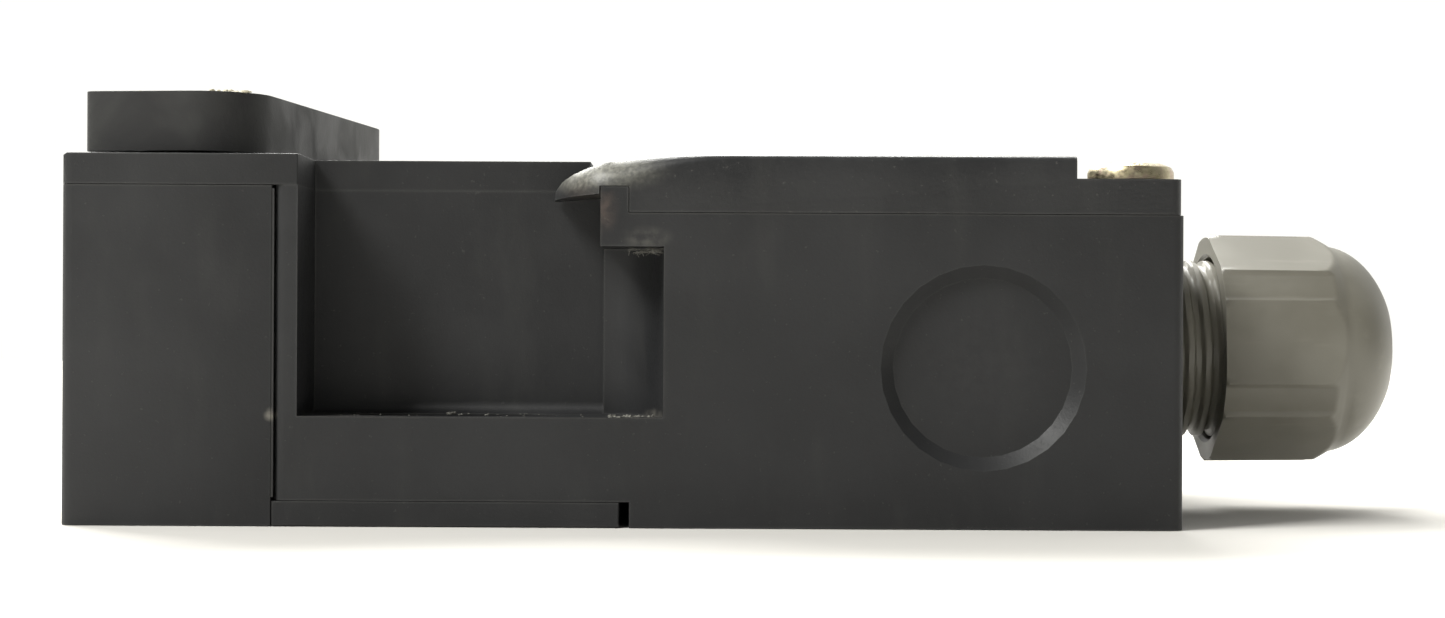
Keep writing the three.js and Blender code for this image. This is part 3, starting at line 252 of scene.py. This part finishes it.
def black_moulding(name, marks_and_painted_light, dust=0.5, grain_mm=0.22, specular=0.36, roughness=0.5,
                   patch_mm=1.0, patch_solid=0.0):
    """Glass-filled black plastic from a spark-eroded mould, with dust, handling marks and listed patches
    of dust and painted light.
    """
    tree = Nodes(name)
    cloud = tree.noise(9.0, 4.0, 0.6)
    streak = tree.noise(3.0, 3.0, 0.55, stretch=(1.0, 1.0, 0.25))
    speck = tree.noise(0.35, 2.0, 0.6)
    fine = tree.noise(grain_mm, 2.0, 0.6)
    base = tree.mix(tree.ramp(cloud, 0.35, 0.7), (0.0165, 0.017, 0.018, 1), (0.022, 0.0225, 0.0235, 1))
    base = tree.mix(tree.ramp(streak, 0.52, 0.8, 0.0, 0.25), base, (0.042, 0.042, 0.040, 1))
    base = tree.mix(tree.ramp(speck, 0.66, 0.78, 0.0, dust * 0.4), base, (0.13, 0.125, 0.115, 1))
    base = tree.mix(tree.math("MULTIPLY", tree.edges(0.35), 0.16), base, (0.17, 0.17, 0.16, 1))
    # The listed patches are dust, and painted highlights, reflections, glare and light.
    for centre, reach, colour, strength in marks_and_painted_light:
        share = tree.math("MULTIPLY", tree.spot(centre, reach, patch_mm, patch_solid), strength)
        base = tree.mix(share, base, colour)
    tree.link(base, tree.shader.inputs["Base Color"])
    rough = tree.ramp(cloud, 0.3, 0.7, roughness - 0.05, roughness + 0.05)
    rough = tree.math("ADD", rough, tree.ramp(speck, 0.5, 0.8, 0.0, 0.12))
    tree.link(rough, tree.shader.inputs["Roughness"])
    tree.shader.inputs["Specular IOR Level"].default_value = specular
    tree.bump([(cloud, 0.12, 0.25), (fine, 0.03, 0.5), (speck, 0.03, 0.35)])
    return tree.material


def rubber(name, base_colour, bloom_colour, smudges=()):
    """Matt rubber with a pale bloom and dark finger marks."""
    tree = Nodes(name)
    cloud = tree.noise(6.0, 4.0, 0.55, distortion=0.6)
    fine = tree.noise(0.3, 3.0, 0.65)
    base = tree.mix(tree.ramp(cloud, 0.4, 0.68, 0.0, 0.55), base_colour, bloom_colour)
    base = tree.mix(tree.math("MULTIPLY", tree.edges(0.4), 0.3), base, bloom_colour)
    for centre, reach, colour, strength in smudges:
        share = tree.math("MULTIPLY", tree.spot(centre, reach, 3.0), strength)
        base = tree.mix(share, base, colour)
    tree.link(base, tree.shader.inputs["Base Color"])
    tree.link(tree.ramp(cloud, 0.35, 0.7, 0.44, 0.62), tree.shader.inputs["Roughness"])
    tree.shader.inputs["Specular IOR Level"].default_value = 0.4
    tree.bump([(cloud, 0.15, 0.3), (fine, 0.04, 0.5)])
    return tree.material


def grey_nylon(name):
    """Warm grey nylon with faint flow marks and a soft sheen."""
    tree = Nodes(name)
    cloud = tree.noise(7.0, 3.0, 0.5)
    flow = tree.noise(1.6, 3.0, 0.6, stretch=(0.2, 1.0, 1.0))
    fine = tree.noise(0.25, 2.0, 0.5)
    base = tree.mix(tree.ramp(cloud, 0.35, 0.65), (0.158, 0.150, 0.122, 1), (0.190, 0.182, 0.152, 1))
    base = tree.mix(tree.ramp(flow, 0.55, 0.8, 0.0, 0.25), base, (0.27, 0.26, 0.22, 1))
    base = tree.mix(tree.math("MULTIPLY", tree.edges(0.25), 0.25), base, (0.34, 0.335, 0.29, 1))
    tree.link(base, tree.shader.inputs["Base Color"])
    tree.link(tree.ramp(cloud, 0.3, 0.7, 0.36, 0.50), tree.shader.inputs["Roughness"])
    tree.shader.inputs["Specular IOR Level"].default_value = 0.5
    tree.bump([(flow, 0.02, 0.3), (fine, 0.012, 0.35)])
    return tree.material


def plain_moulding(name, dark, light, roughness):
    """Inner plastic pieces: even colour with slight clouding and moulding grain."""
    tree = Nodes(name)
    cloud = tree.noise(4.0, 3.0, 0.5)
    fine = tree.noise(0.3, 2.0, 0.5)
    tree.link(tree.mix(tree.ramp(cloud, 0.35, 0.65), dark, light), tree.shader.inputs["Base Color"])
    rough = tree.ramp(fine, 0.3, 0.7, roughness - 0.06, roughness + 0.06)
    tree.link(rough, tree.shader.inputs["Roughness"])
    tree.bump([(fine, 0.015, 0.4)])
    return tree.material


def metal(name, dark, light, roughness, tint=None):
    """Metal with drawn or turned marks, dulled spots and, if given, a second tint in patches."""
    tree = Nodes(name)
    cloud = tree.noise(2.2, 4.0, 0.6)
    marks = tree.noise(0.4, 3.0, 0.6, stretch=(1.0, 0.12, 1.0))
    base = tree.mix(tree.ramp(cloud, 0.35, 0.7), dark, light)
    if tint:
        patches = tree.noise(1.1, 3.0, 0.6, distortion=1.0)
        base = tree.mix(tree.ramp(patches, 0.45, 0.7, 0.0, 0.7), base, tint)
    base = tree.mix(tree.math("MULTIPLY", tree.edges(0.15), 0.4), base, (0.86, 0.84, 0.76, 1))
    tree.link(base, tree.shader.inputs["Base Color"])
    tree.shader.inputs["Metallic"].default_value = 1.0
    rough = tree.ramp(marks, 0.3, 0.75, roughness - 0.1, roughness + 0.14)
    tree.link(rough, tree.shader.inputs["Roughness"])
    tree.bump([(marks, 0.012, 0.4), (cloud, 0.02, 0.2)])
    return tree.material


def dry_residue(name, dark, light):
    """Dried glue and dust: crumbly and rough."""
    tree = Nodes(name)
    cloud = tree.noise(0.5, 4.0, 0.65)
    tree.link(tree.mix(tree.ramp(cloud, 0.35, 0.65), dark, light), tree.shader.inputs["Base Color"])
    tree.shader.inputs["Roughness"].default_value = 0.95
    tree.shader.inputs["Specular IOR Level"].default_value = 0.2
    tree.bump([(tree.noise(0.12, 3.0, 0.6), 0.06, 0.8)])
    return tree.material


def backdrop_paper(name):
    """Pale paper with faint clouding."""
    tree = Nodes(name)
    cloud = tree.noise(60.0, 3.0, 0.5)
    fine = tree.noise(0.8, 2.0, 0.5)
    colour = tree.mix(tree.ramp(cloud, 0.3, 0.7), (0.66, 0.645, 0.61, 1), (0.70, 0.685, 0.655, 1))
    tree.link(colour, tree.shader.inputs["Base Color"])
    tree.shader.inputs["Roughness"].default_value = 0.9
    tree.shader.inputs["Specular IOR Level"].default_value = 0.2
    tree.bump([(fine, 0.02, 0.3)])
    return tree.material


# Dust colour; it also paints a highlight at the top of the flare.
DUST_AND_HIGHLIGHT = (0.20, 0.19, 0.165, 1)
# Cream colour of pale dust together with a painted glare.
CREAM_DUST_AND_GLARE = (0.34, 0.335, 0.28, 1)
# Pinkish colour of a painted reflection below and on the lid's nose.
PINK_REFLECTION = (0.16, 0.115, 0.095, 1)
SMUDGE = (0.012, 0.012, 0.013, 1)
# Patches on the housing: dust, a painted highlight, a painted reflection and painted light.
BODY_MARKS_AND_PAINTED_LIGHT = [
    # Painted highlight with some dust, at the top of the flare under the shoulder.
    ((15.8, -25.5, 23.2), (2.6, 2.0, 1.2), DUST_AND_HIGHLIGHT, 0.3),
    # Pinkish painted reflection on the shoulder below the lid's nose.
    ((12.4, -25.5, 25.4), (1.5, 2.0, 2.4), PINK_REFLECTION, 0.35),
    ((15.5, -23.0, 8.9), (3.4, 3.6, 0.7), DUST_AND_HIGHLIGHT, 0.55),
    ((-6.0, -22.0, 8.9), (9.0, 5.0, 0.6), DUST_AND_HIGHLIGHT, 0.25),
    ((-14.2, -26.0, 8.9), (0.7, 0.8, 0.7), DUST_AND_HIGHLIGHT, 0.9),
    # Painted light: a lighter round patch on the front face at the knock-out.
    ((43.0, -25.6, 13.0), (7.6, 1.6, 7.6), (0.030, 0.030, 0.031, 1), 0.5),
]
# Patches on the lid: a painted reflection, and pale dust with painted glare.
LID_MARKS_AND_PAINTED_LIGHT = [
    # Pinkish painted reflection on the lid's nose.
    ((11.0, -22.0, 27.0), (2.4, 5.0, 2.0), PINK_REFLECTION, 0.25),
    # Pale dust and painted glare on the top of the lid's nose.
    ((12.5, -22.5, 28.6), (7.0, 6.5, 2.4), CREAM_DUST_AND_GLARE, 0.7),
]
KEY_SMUDGES = [
    ((-14.5, -9.0, 32.6), (2.5, 5.0, 1.8), SMUDGE, 0.85),
    ((-12.0, 3.0, 32.4), (2.5, 4.0, 1.8), SMUDGE, 0.6),
    ((-11.5, 18.0, 32.4), (2.5, 4.0, 1.6), SMUDGE, 0.7),
]

MATERIALS = {
    "body_plastic": black_moulding("black_housing_plastic", BODY_MARKS_AND_PAINTED_LIGHT),
    "lid_plastic": black_moulding(
        "black_lid_plastic", LID_MARKS_AND_PAINTED_LIGHT, dust=0.9, grain_mm=0.3, specular=0.45, roughness=0.42,
        patch_mm=0.35, patch_solid=0.45),
    "rubber": rubber("black_rubber", (0.020, 0.020, 0.0205, 1), (0.042, 0.043, 0.040, 1), KEY_SMUDGES),
    "gland_plastic": grey_nylon("warm_grey_nylon"),
    "insulator": plain_moulding("cream_plastic", (0.50, 0.45, 0.33, 1), (0.62, 0.57, 0.45, 1), 0.5),
    "cam_plastic": plain_moulding("red_plastic", (0.25, 0.028, 0.02, 1), (0.34, 0.045, 0.03, 1), 0.42),
    "steel": metal("plain_steel", (0.40, 0.41, 0.42, 1), (0.52, 0.53, 0.54, 1), 0.34),
    "spring_steel": metal("spring_wire", (0.32, 0.33, 0.34, 1), (0.48, 0.49, 0.50, 1), 0.3),
    "brass": metal("brass_strip", (0.50, 0.35, 0.13, 1), (0.62, 0.46, 0.20, 1), 0.3),
    "passivated_steel": metal(
        "yellow_passivated_steel",
        (0.46, 0.40, 0.24, 1),
        (0.66, 0.60, 0.42, 1),
        0.36,
        tint=(0.50, 0.36, 0.30, 1),
    ),
}
GLUE = dry_residue("dried_glue", (0.36, 0.33, 0.24, 1), (0.62, 0.58, 0.46, 1))
DUST_GREY = dry_residue("grey_dust", (0.10, 0.098, 0.088, 1), (0.24, 0.235, 0.21, 1))


# ---------------------------------------------------------------- mesh helpers

JOINT_GAP = 0.05
JOINT_REACH = 0.08  # an edge this near to a joint belongs to it
JOINT_LEVELS = (COVER_LOW[2], LID_LOW[2] - JOINT_GAP / 2, PLATE_HIGH[2] + JOINT_GAP / 2)
HEAD_JOINT_X = HEAD_HIGH[0] + JOINT_GAP / 2
JOINT_SHARE = 0.2
COVER_RIM = 1.1
COVER_RIM_X = COVER_LOW[0] + COVER_RIM
COVER_RIM_Y = COVER_HIGH[1] - COVER_RIM
COVER_TOP = COVER_HIGH[2]
TOP_REACH = 0.1
SHARP_DEGREES = 32
WELD_DISTANCE = 0.002
FLAT_ANGLE = math.radians(0.4)


def new_object(name, mesh, material, body):
    """Links a mesh as a piece that rides on a CAD body."""
    item = bpy.data.objects.new(name, mesh)
    bpy.context.scene.collection.objects.link(item)
    mesh.materials.clear()
    mesh.materials.append(material)
    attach(item, body)
    return item


def smooth(mesh, sharp_degrees):
    for polygon in mesh.polygons:
        polygon.use_smooth = True
    mesh.set_sharp_from_angle(angle=math.radians(sharp_degrees))


def edge_share(node, a, b):
    """Share of the edge radius: small along joints and screw holes, full elsewhere."""
    middle = (a + b) / 2
    on_rim = middle.x < mm(COVER_RIM_X) or abs(middle.y) > mm(COVER_RIM_Y)
    on_top = min(a.z, b.z) > mm(COVER_TOP - TOP_REACH)
    if node == "head_cover" and not (on_rim and on_top):
        return JOINT_SHARE
    for level in JOINT_LEVELS:
        if max(abs(a.z - mm(level)), abs(b.z - mm(level))) < mm(JOINT_REACH):
            return JOINT_SHARE
    if max(abs(a.x - mm(HEAD_JOINT_X)), abs(b.x - mm(HEAD_JOINT_X))) < mm(JOINT_REACH):
        return JOINT_SHARE
    return 1.0


def rounded_copy(node, radius_mm, segments):
    """The CAD solid with flat faces made whole and its edges rounded."""
    sharp = math.radians(SHARP_DEGREES)
    mesh = bpy.data.meshes.new(node + "_finished")
    bm = bmesh.new()
    bm.from_mesh(frame["nodes"][node].data)
    bmesh.ops.remove_doubles(bm, verts=bm.verts, dist=mm(WELD_DISTANCE))
    bmesh.ops.dissolve_limit(
        bm,
        angle_limit=FLAT_ANGLE,
        use_dissolve_boundaries=False,
        verts=bm.verts,
        edges=bm.edges,
    )
    weight = bm.edges.layers.float.new("bevel_weight_edge")
    for edge in bm.edges:
        if len(edge.link_faces) == 2 and edge.calc_face_angle() > sharp:
            edge[weight] = edge_share(node, edge.verts[0].co, edge.verts[1].co)
    bm.to_mesh(mesh)
    bm.free()
    for name in [a.name for a in mesh.attributes if a.name == "custom_normal"]:
        mesh.attributes.remove(mesh.attributes[name])
    smooth(mesh, SHARP_DEGREES)
    slot = SLOT_OF[node]
    item = new_object(node + "_finished", mesh, MATERIALS[slot], BODY_OF[node])
    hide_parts(node)
    bevel = item.modifiers.new("rounded_edges", "BEVEL")
    bevel.width = mm(radius_mm)
    bevel.segments = segments
    bevel.limit_method = "WEIGHT"
    bevel.use_clamp_overlap = True
    bevel.harden_normals = True


def ring_grid(name, rings):
    """Mesh through rings of the same number of points; the last ring joins the first."""
    count = len(rings[0])
    vertices = [point for ring in rings for point in ring]
    faces = []
    for i in range(len(rings)):
        a = i * count
        b = ((i + 1) % len(rings)) * count
        for j in range(count):
            k = (j + 1) % count
            faces.append((a + j, a + k, b + k, b + j))
    mesh = bpy.data.meshes.new(name)
    mesh.from_pydata(vertices, [], faces)
    mesh.validate()
    bm = bmesh.new()
    bm.from_mesh(mesh)
    bmesh.ops.recalc_face_normals(bm, faces=bm.faces)
    bm.to_mesh(mesh)
    bm.free()
    return mesh


def around_gland(x, radius, angle):
    """Point at a distance from the gland's axis; angle 0 faces the front, -Y."""
    return place(x, -radius * math.cos(angle), GLAND_Z + radius * math.sin(angle))


# ---------------------------------------------------------------- gland

def nut_radius(x, angle):
    """Outer radius of the nut: tapered hexagon whose corners are sunk, rounded bands, then a dome."""
    pitch = math.pi / 3
    off = abs((angle - NUT_TWIST + pitch / 2) % pitch - pitch / 2)
    taper = NUT_TAPER * (1.0 - 2.0 * (x - NUT_START) / (NUT_END - NUT_START))
    flat = (NUT_FLAT + taper) / math.cos(min(off, BAND_EDGE))
    band = (NUT_FLAT + taper) / math.cos(BAND_EDGE) - BAND_SINK
    share = min(max((off - BAND_EDGE) / BAND_STEP + 0.5, 0.0), 1.0)
    return min(flat * (1.0 - share) + band * share, nut_profile(x))


def nut_profile(x):
    """Largest radius allowed at each X: chamfered rear edge, then the fall into the dome."""
    dome_radius = NUT_CORNER - DOME_STEP
    if x < NUT_START + NUT_CHAMFER:
        return NUT_CORNER + x - NUT_START - NUT_CHAMFER
    fall_start = HEX_END - FALL_BEFORE
    fall_end = HEX_END + FALL_AFTER
    if x < fall_start:
        return math.inf
    reach = (NUT_END - HEX_END) / math.sqrt(1.0 - (DOME_MOUTH / dome_radius) ** 2)
    past = max(x - HEX_END, 0.0) / reach
    dome = dome_radius * math.sqrt(1.0 - past * past)
    share = min((x - fall_start) / (fall_end - fall_start), 1.0)
    return NUT_CORNER * (1.0 - share) + dome * share


def gland_nut():
    """The clamping nut with its dome, its bore and the dome's mouth."""
    angles = [2 * math.pi * j / NUT_POINTS for j in range(NUT_POINTS)]
    hex_start = NUT_START + NUT_CHAMFER
    fall_start = HEX_END - FALL_BEFORE
    plain = fall_start - NUT_START - NUT_CHAMFER
    fall = FALL_BEFORE + FALL_AFTER
    dome_start = HEX_END + FALL_AFTER
    dome = NUT_END - dome_start
    stations = [NUT_START, hex_start]
    stations += [hex_start + plain * i / HEX_STEPS for i in range(1, HEX_STEPS + 1)]
    stations += [fall_start + fall * i / FALL_STEPS for i in range(1, FALL_STEPS + 1)]
    for i in range(1, DOME_STEPS + 1):
        stations.append(dome_start + dome * math.sin(math.pi / 2 * i / DOME_STEPS))
    rings = [[around_gland(x, nut_radius(x, a), a) for a in angles] for x in stations]
    rings += [[around_gland(x, radius, a) for a in angles] for x, radius in nut_inside()]
    mesh = ring_grid("gland_nut_finished", rings)
    smooth(mesh, 40)
    item = new_object("gland_nut_finished", mesh, MATERIALS["gland_plastic"], "nut")
    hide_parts("gland_nut")


def nut_inside():
    """The nut's inner outline as (x, radius), from the mouth back to the threaded end."""
    throat = DOME_MOUTH - 0.4
    bore = THREAD_RADIUS + NUT_BORE_GAP
    return [
        (NUT_END - 0.15, DOME_MOUTH - 0.3),
        (NUT_END - 1.0, throat),
        (CAGE_END + 1.0, throat),
        (CAGE_END + 0.8, bore - 1.6),
        (THREAD_END + 2.4, bore),
        (NUT_START + 0.3, bore),
        (NUT_START, bore + 0.3),
    ]


def thread_radius(x, angle):
    """Radius of the single-start thread, with rounded crests and roots."""
    phase = ((x / THREAD_PITCH) + angle / (2 * math.pi)) % 1.0
    wave = 0.5 + 0.5 * math.cos(2 * math.pi * phase)
    crest = min(max(wave * 1.6 - 0.25, 0.0), 1.0)
    crest = crest * crest * (3.0 - 2.0 * crest)
    return THREAD_RADIUS - THREAD_DEPTH * (1.0 - crest)


def gland_tube():
    """Threaded tube with its bore; the thread runs over the bare neck."""
    angles = [2 * math.pi * j / THREAD_POINTS for j in range(THREAD_POINTS)]
    steps = int((THREAD_END - THREAD_START) / THREAD_PITCH * STEPS_PER_PITCH)
    stations = [THREAD_START + (THREAD_END - THREAD_START) * i / steps for i in range(steps + 1)]
    rings = [[around_gland(x, thread_radius(x, a), a) for a in angles] for x in stations]
    rings.append([around_gland(THREAD_END, GLAND_BORE, a) for a in angles])
    rings.append([around_gland(THREAD_START, GLAND_BORE, a) for a in angles])
    mesh = ring_grid("gland_tube_finished", rings)
    smooth(mesh, 50)
    item = new_object("gland_tube_finished", mesh, MATERIALS["gland_plastic"], "body")
    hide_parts("gland_body")


def cage_sections(bm, middle):
    """Corner rings of one finger, from its root on the tube to its tip."""
    half = math.pi / CAGE_FINGERS - CAGE_GAP / 2
    outer = THREAD_RADIUS - THREAD_DEPTH
    tip = outer - CAGE_TIP_FALL
    arc = [middle - half + 2 * half * j / CAGE_STEPS for j in range(CAGE_STEPS + 1)]
    sections = []
    for x, radius in [(THREAD_END - 0.2, outer), (CAGE_END - CAGE_TIP_LENGTH, tip + 0.3), (CAGE_END, tip)]:
        loop = [around_gland(x, radius, a) for a in arc]
        loop += [around_gland(x, GLAND_BORE, a) for a in reversed(arc)]
        sections.append([bm.verts.new(point) for point in loop])
    return sections


def gland_cage():
    """Six fingers that the nut presses on the seal."""
    bm = bmesh.new()
    for i in range(CAGE_FINGERS):
        sections = cage_sections(bm, 2 * math.pi * i / CAGE_FINGERS)
        for first, second in zip(sections, sections[1:]):
            for j in range(len(first)):
                k = (j + 1) % len(first)
                bm.faces.new((first[j], first[k], second[k], second[j]))
        for loop in (sections[0], sections[-1]):
            for j in range(CAGE_STEPS):
                k = len(loop) - 1 - j
                bm.faces.new((loop[j], loop[j + 1], loop[k - 1], loop[k]))
    bmesh.ops.recalc_face_normals(bm, faces=bm.faces)
    mesh = bpy.data.meshes.new("gland_cage")
    bm.to_mesh(mesh)
    bm.free()
    smooth(mesh, 30)
    new_object("gland_cage", mesh, MATERIALS["gland_plastic"], "body")


# ---------------------------------------------------------------- dust, glue and fibres

def crumbs(name, spots, material, body, seed):
    """Irregular crumbs lying on a face, each (x, y, z of the face, size, height)."""
    rng = random.Random(seed)
    bm = bmesh.new()
    for x, y, z, size, height in spots:
        made = bmesh.ops.create_icosphere(bm, subdivisions=2, radius=1.0)
        spin = rng.uniform(0.0, math.pi)
        stretch = rng.uniform(0.7, 1.6)
        for vertex in made["verts"]:
            push = 1.0 + rng.uniform(-0.25, 0.25)
            a = vertex.co.x * size * stretch * push
            b = vertex.co.y * size / stretch * push
            up = min(max(vertex.co.z * push, -0.1), 1.0) * height
            vertex.co = place(
                x + a * math.cos(spin) - b * math.sin(spin),
                y + a * math.sin(spin) + b * math.cos(spin),
                z + up,
            )
    mesh = bpy.data.meshes.new(name)
    bm.to_mesh(mesh)
    bm.free()
    smooth(mesh, 60)
    new_object(name, mesh, material, body)


def scattered(rng, count, x_range, y_range, z, size_range, height_range):
    """Crumbs spread evenly over a rectangle at one height."""
    return [
        (
            rng.uniform(*x_range),
            rng.uniform(*y_range),
            z,
            rng.uniform(*size_range),
            rng.uniform(*height_range),
        )
        for _ in range(count)
    ]


def residue():
    """Glue left on the key's top, and dust on and round the pocket's floor."""
    rng = random.Random(7)
    top = KEY_HIGH[2] - GLUE_SINK
    glue = scattered(rng, 26, (-20.4, -17.0), (-21.4, -19.4), top, (0.12, 0.42), (0.10, 0.33))
    glue += scattered(rng, 12, (-27.0, -24.4), (-20.6, -19.0), top, (0.12, 0.34), (0.06, 0.2))
    glue += scattered(rng, 30, (-26.0, -14.0), (-17.0, 20.0), top, (0.2, 0.7), (0.04, 0.12))
    crumbs("glue_residue", glue, GLUE, "key", 11)
    floor = POCKET_FLOOR - DUST_SINK
    dust = scattered(rng, 34, (12.6, 16.8), (-25.6, -23.0), floor - 0.01, (0.06, 0.22), (0.05, 0.22))
    dust += scattered(rng, 26, (-9.0, 11.0), (-25.5, -18.5), floor, (0.04, 0.14), (0.03, 0.1))
    dust += scattered(rng, 3, (-0.6, -0.2), (-20.0, -19.6), floor, (0.2, 0.4), (0.15, 0.3))
    joint = POCKET_FLOOR + 0.3
    dust += scattered(rng, 5, (-14.6, -14.2), (-25.7, -25.5), joint, (0.05, 0.12), (0.05, 0.1))
    crumbs("pocket_dust", dust, DUST_GREY, "body", 13)


def joint_dust():
    """Flat strip of housing plastic, for looks only, behind the front of the upright joint."""
    bm = bmesh.new()
    bmesh.ops.create_cube(bm, size=1.0)
    low, high = place(-14.22, -25.94, 2.3), place(-13.99, -25.6, COVER_LOW[2] - 0.3)
    for vertex in bm.verts:
        share = vertex.co + Vector((0.5, 0.5, 0.5))
        vertex.co = Vector([low[i] + (high[i] - low[i]) * share[i] for i in range(3)])
    bmesh.ops.subdivide_edges(bm, edges=bm.edges, cuts=3, use_grid_fill=True)
    mesh = bpy.data.meshes.new("joint_dust")
    bm.to_mesh(mesh)
    bm.free()
    new_object("joint_dust", mesh, MATERIALS["body_plastic"], "body")


def fibres():
    """A tuft of short lint fibres caught at the top of the flare."""
    rng = random.Random(23)
    curve = bpy.data.curves.new("lint_fibres", "CURVE")
    curve.dimensions = "3D"
    curve.bevel_depth = mm(FIBRE_RADIUS)
    curve.bevel_resolution = 1
    for _ in range(FIBRE_COUNT):
        x = rng.gauss(16.3, 0.9)
        y = rng.uniform(-25.6, -24.6)
        z = rng.uniform(22.0, 22.42)
        spline = curve.splines.new("POLY")
        spline.points.add(FIBRE_POINTS - 1)
        heading = rng.uniform(-0.9, 0.9) + (math.pi if rng.random() < 0.5 else 0.0)
        for i, point in enumerate(spline.points):
            point.co = (*place(x, y, z), 1.0)
            x += math.cos(heading) * FIBRE_STEP
            z -= abs(math.sin(heading)) * 0.2 * i / 3
            y += rng.uniform(-0.06, 0.06)
            heading += rng.uniform(-0.5, 0.5)
    item = bpy.data.objects.new("lint_fibres", curve)
    bpy.context.scene.collection.objects.link(item)
    curve.materials.append(DUST_GREY)
    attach(item, "body")


# ---------------------------------------------------------------- the CAD's own pieces

EDGE_RADIUS = {
    "housing": 0.22,
    "head_block": 0.35,
    "head_cover": 0.4,
    "bottom_plate": 0.15,
    "terminal_lid": 0.2,
    "key_base": 0.4,
    "key_tongue": 0.15,
    "lid_screw_front": 0.1,
    "lid_screw_rear": 0.1,
}
EDGE_SEGMENTS = 3
DEFAULT_EDGE = 0.06
MADE_BY_FORMULA = ("gland_nut", "gland_body")


def cad_pieces():
    """Rounds every CAD node, in more segments where it has a radius of its own."""
    for node in sorted(frame["nodes"]):
        if node in MADE_BY_FORMULA:
            continue
        if node in EDGE_RADIUS:
            rounded_copy(node, EDGE_RADIUS[node], EDGE_SEGMENTS)
        else:
            rounded_copy(node, DEFAULT_EDGE, 1)


# ---------------------------------------------------------------- stage, light and camera, in metres

BACKDROP_LEVEL = 1.05
ROOM_LEVEL = 0.22
FLOOR_HALF_WIDTH = 0.9
FLOOR_FRONT = -0.6
FLOOR_BACK = 0.7
FLOOR_TOP = -0.00005
WARM_WHITE = (1.0, 0.995, 0.965)


def stage():
    """Sheet of pale paper just under the part."""
    wide = FLOOR_HALF_WIDTH
    mesh = bpy.data.meshes.new("floor")
    corners = [
        (-wide, FLOOR_FRONT, 0.0),
        (wide, FLOOR_FRONT, 0.0),
        (wide, FLOOR_BACK, 0.0),
        (-wide, FLOOR_BACK, 0.0),
    ]
    mesh.from_pydata(corners, [], [(0, 1, 2, 3)])
    mesh.materials.append(backdrop_paper("pale_paper"))
    floor = bpy.data.objects.new("floor", mesh)
    bpy.context.scene.collection.objects.link(floor)
    floor.location.z = FLOOR_TOP


def area_light(name, where, target, width, height, power):
    """Rectangular warm white lamp that points at a target."""
    data = bpy.data.lights.new(name, "AREA")
    data.shape = "RECTANGLE"
    data.size = width
    data.size_y = height
    data.energy = power
    data.color = WARM_WHITE
    lamp = bpy.data.objects.new(name, data)
    bpy.context.scene.collection.objects.link(lamp)
    lamp.location = where
    direction = Vector(target) - Vector(where)
    lamp.rotation_euler = direction.to_track_quat("-Z", "Y").to_euler()


def studio_world():
    """White backdrop behind the object, dim room on the camera's side."""
    world = bpy.data.worlds.new("studio")
    world.use_nodes = True
    tree = world.node_tree
    background = tree.nodes["Background"]
    coords = tree.nodes.new("ShaderNodeTexCoord")
    axes = tree.nodes.new("ShaderNodeSeparateXYZ")
    fade = tree.nodes.new("ShaderNodeMapRange")
    fade.interpolation_type = "SMOOTHSTEP"
    fade.inputs["From Min"].default_value = -0.1
    fade.inputs["From Max"].default_value = 0.6
    fade.inputs["To Min"].default_value = ROOM_LEVEL
    fade.inputs["To Max"].default_value = BACKDROP_LEVEL
    tree.links.new(coords.outputs["Generated"], axes.inputs["Vector"])
    tree.links.new(axes.outputs["Y"], fade.inputs["Value"])
    tree.links.new(fade.outputs["Result"], background.inputs["Strength"])
    background.inputs["Color"].default_value = (1.0, 0.995, 0.955, 1)
    bpy.context.scene.world = world


def lights():
    """A small window lamp at the front left and a large soft lamp behind, over the part."""
    area_light(
        "window",
        where=(-0.5, -0.35, 0.7),
        target=(0.02, 0.0, 0.0),
        width=0.3,
        height=0.3,
        power=10.0,
    )
    area_light(
        "rear_softbox",
        where=(-0.2, 0.56, 0.6),
        target=(0.02, 0.0, 0.02),
        width=0.75,
        height=0.35,
        power=17.0,
    )
    bpy.context.scene.view_settings.view_transform = "Standard"
    bpy.context.scene.view_settings.look = "None"


def camera():
    """Camera in front of the long side, as in the photograph, rolled a little."""
    data = bpy.data.cameras.new("photo_camera")
    data.sensor_width = CAMERA_SENSOR
    data.lens = CAMERA_LENS
    data.shift_x, data.shift_y = CAMERA_SHIFT
    data.clip_start = 0.01
    item = bpy.data.objects.new("photo_camera", data)
    bpy.context.scene.collection.objects.link(item)
    item.location = place(*CAMERA_PLACE)
    item.rotation_euler = (math.pi / 2, CAMERA_ROLL, 0.0)
    bpy.context.scene.camera = item


camera()
studio_world()
lights()
stage()
cad_pieces()
gland_nut()
gland_tube()
gland_cage()
residue()
joint_dust()
fibres()
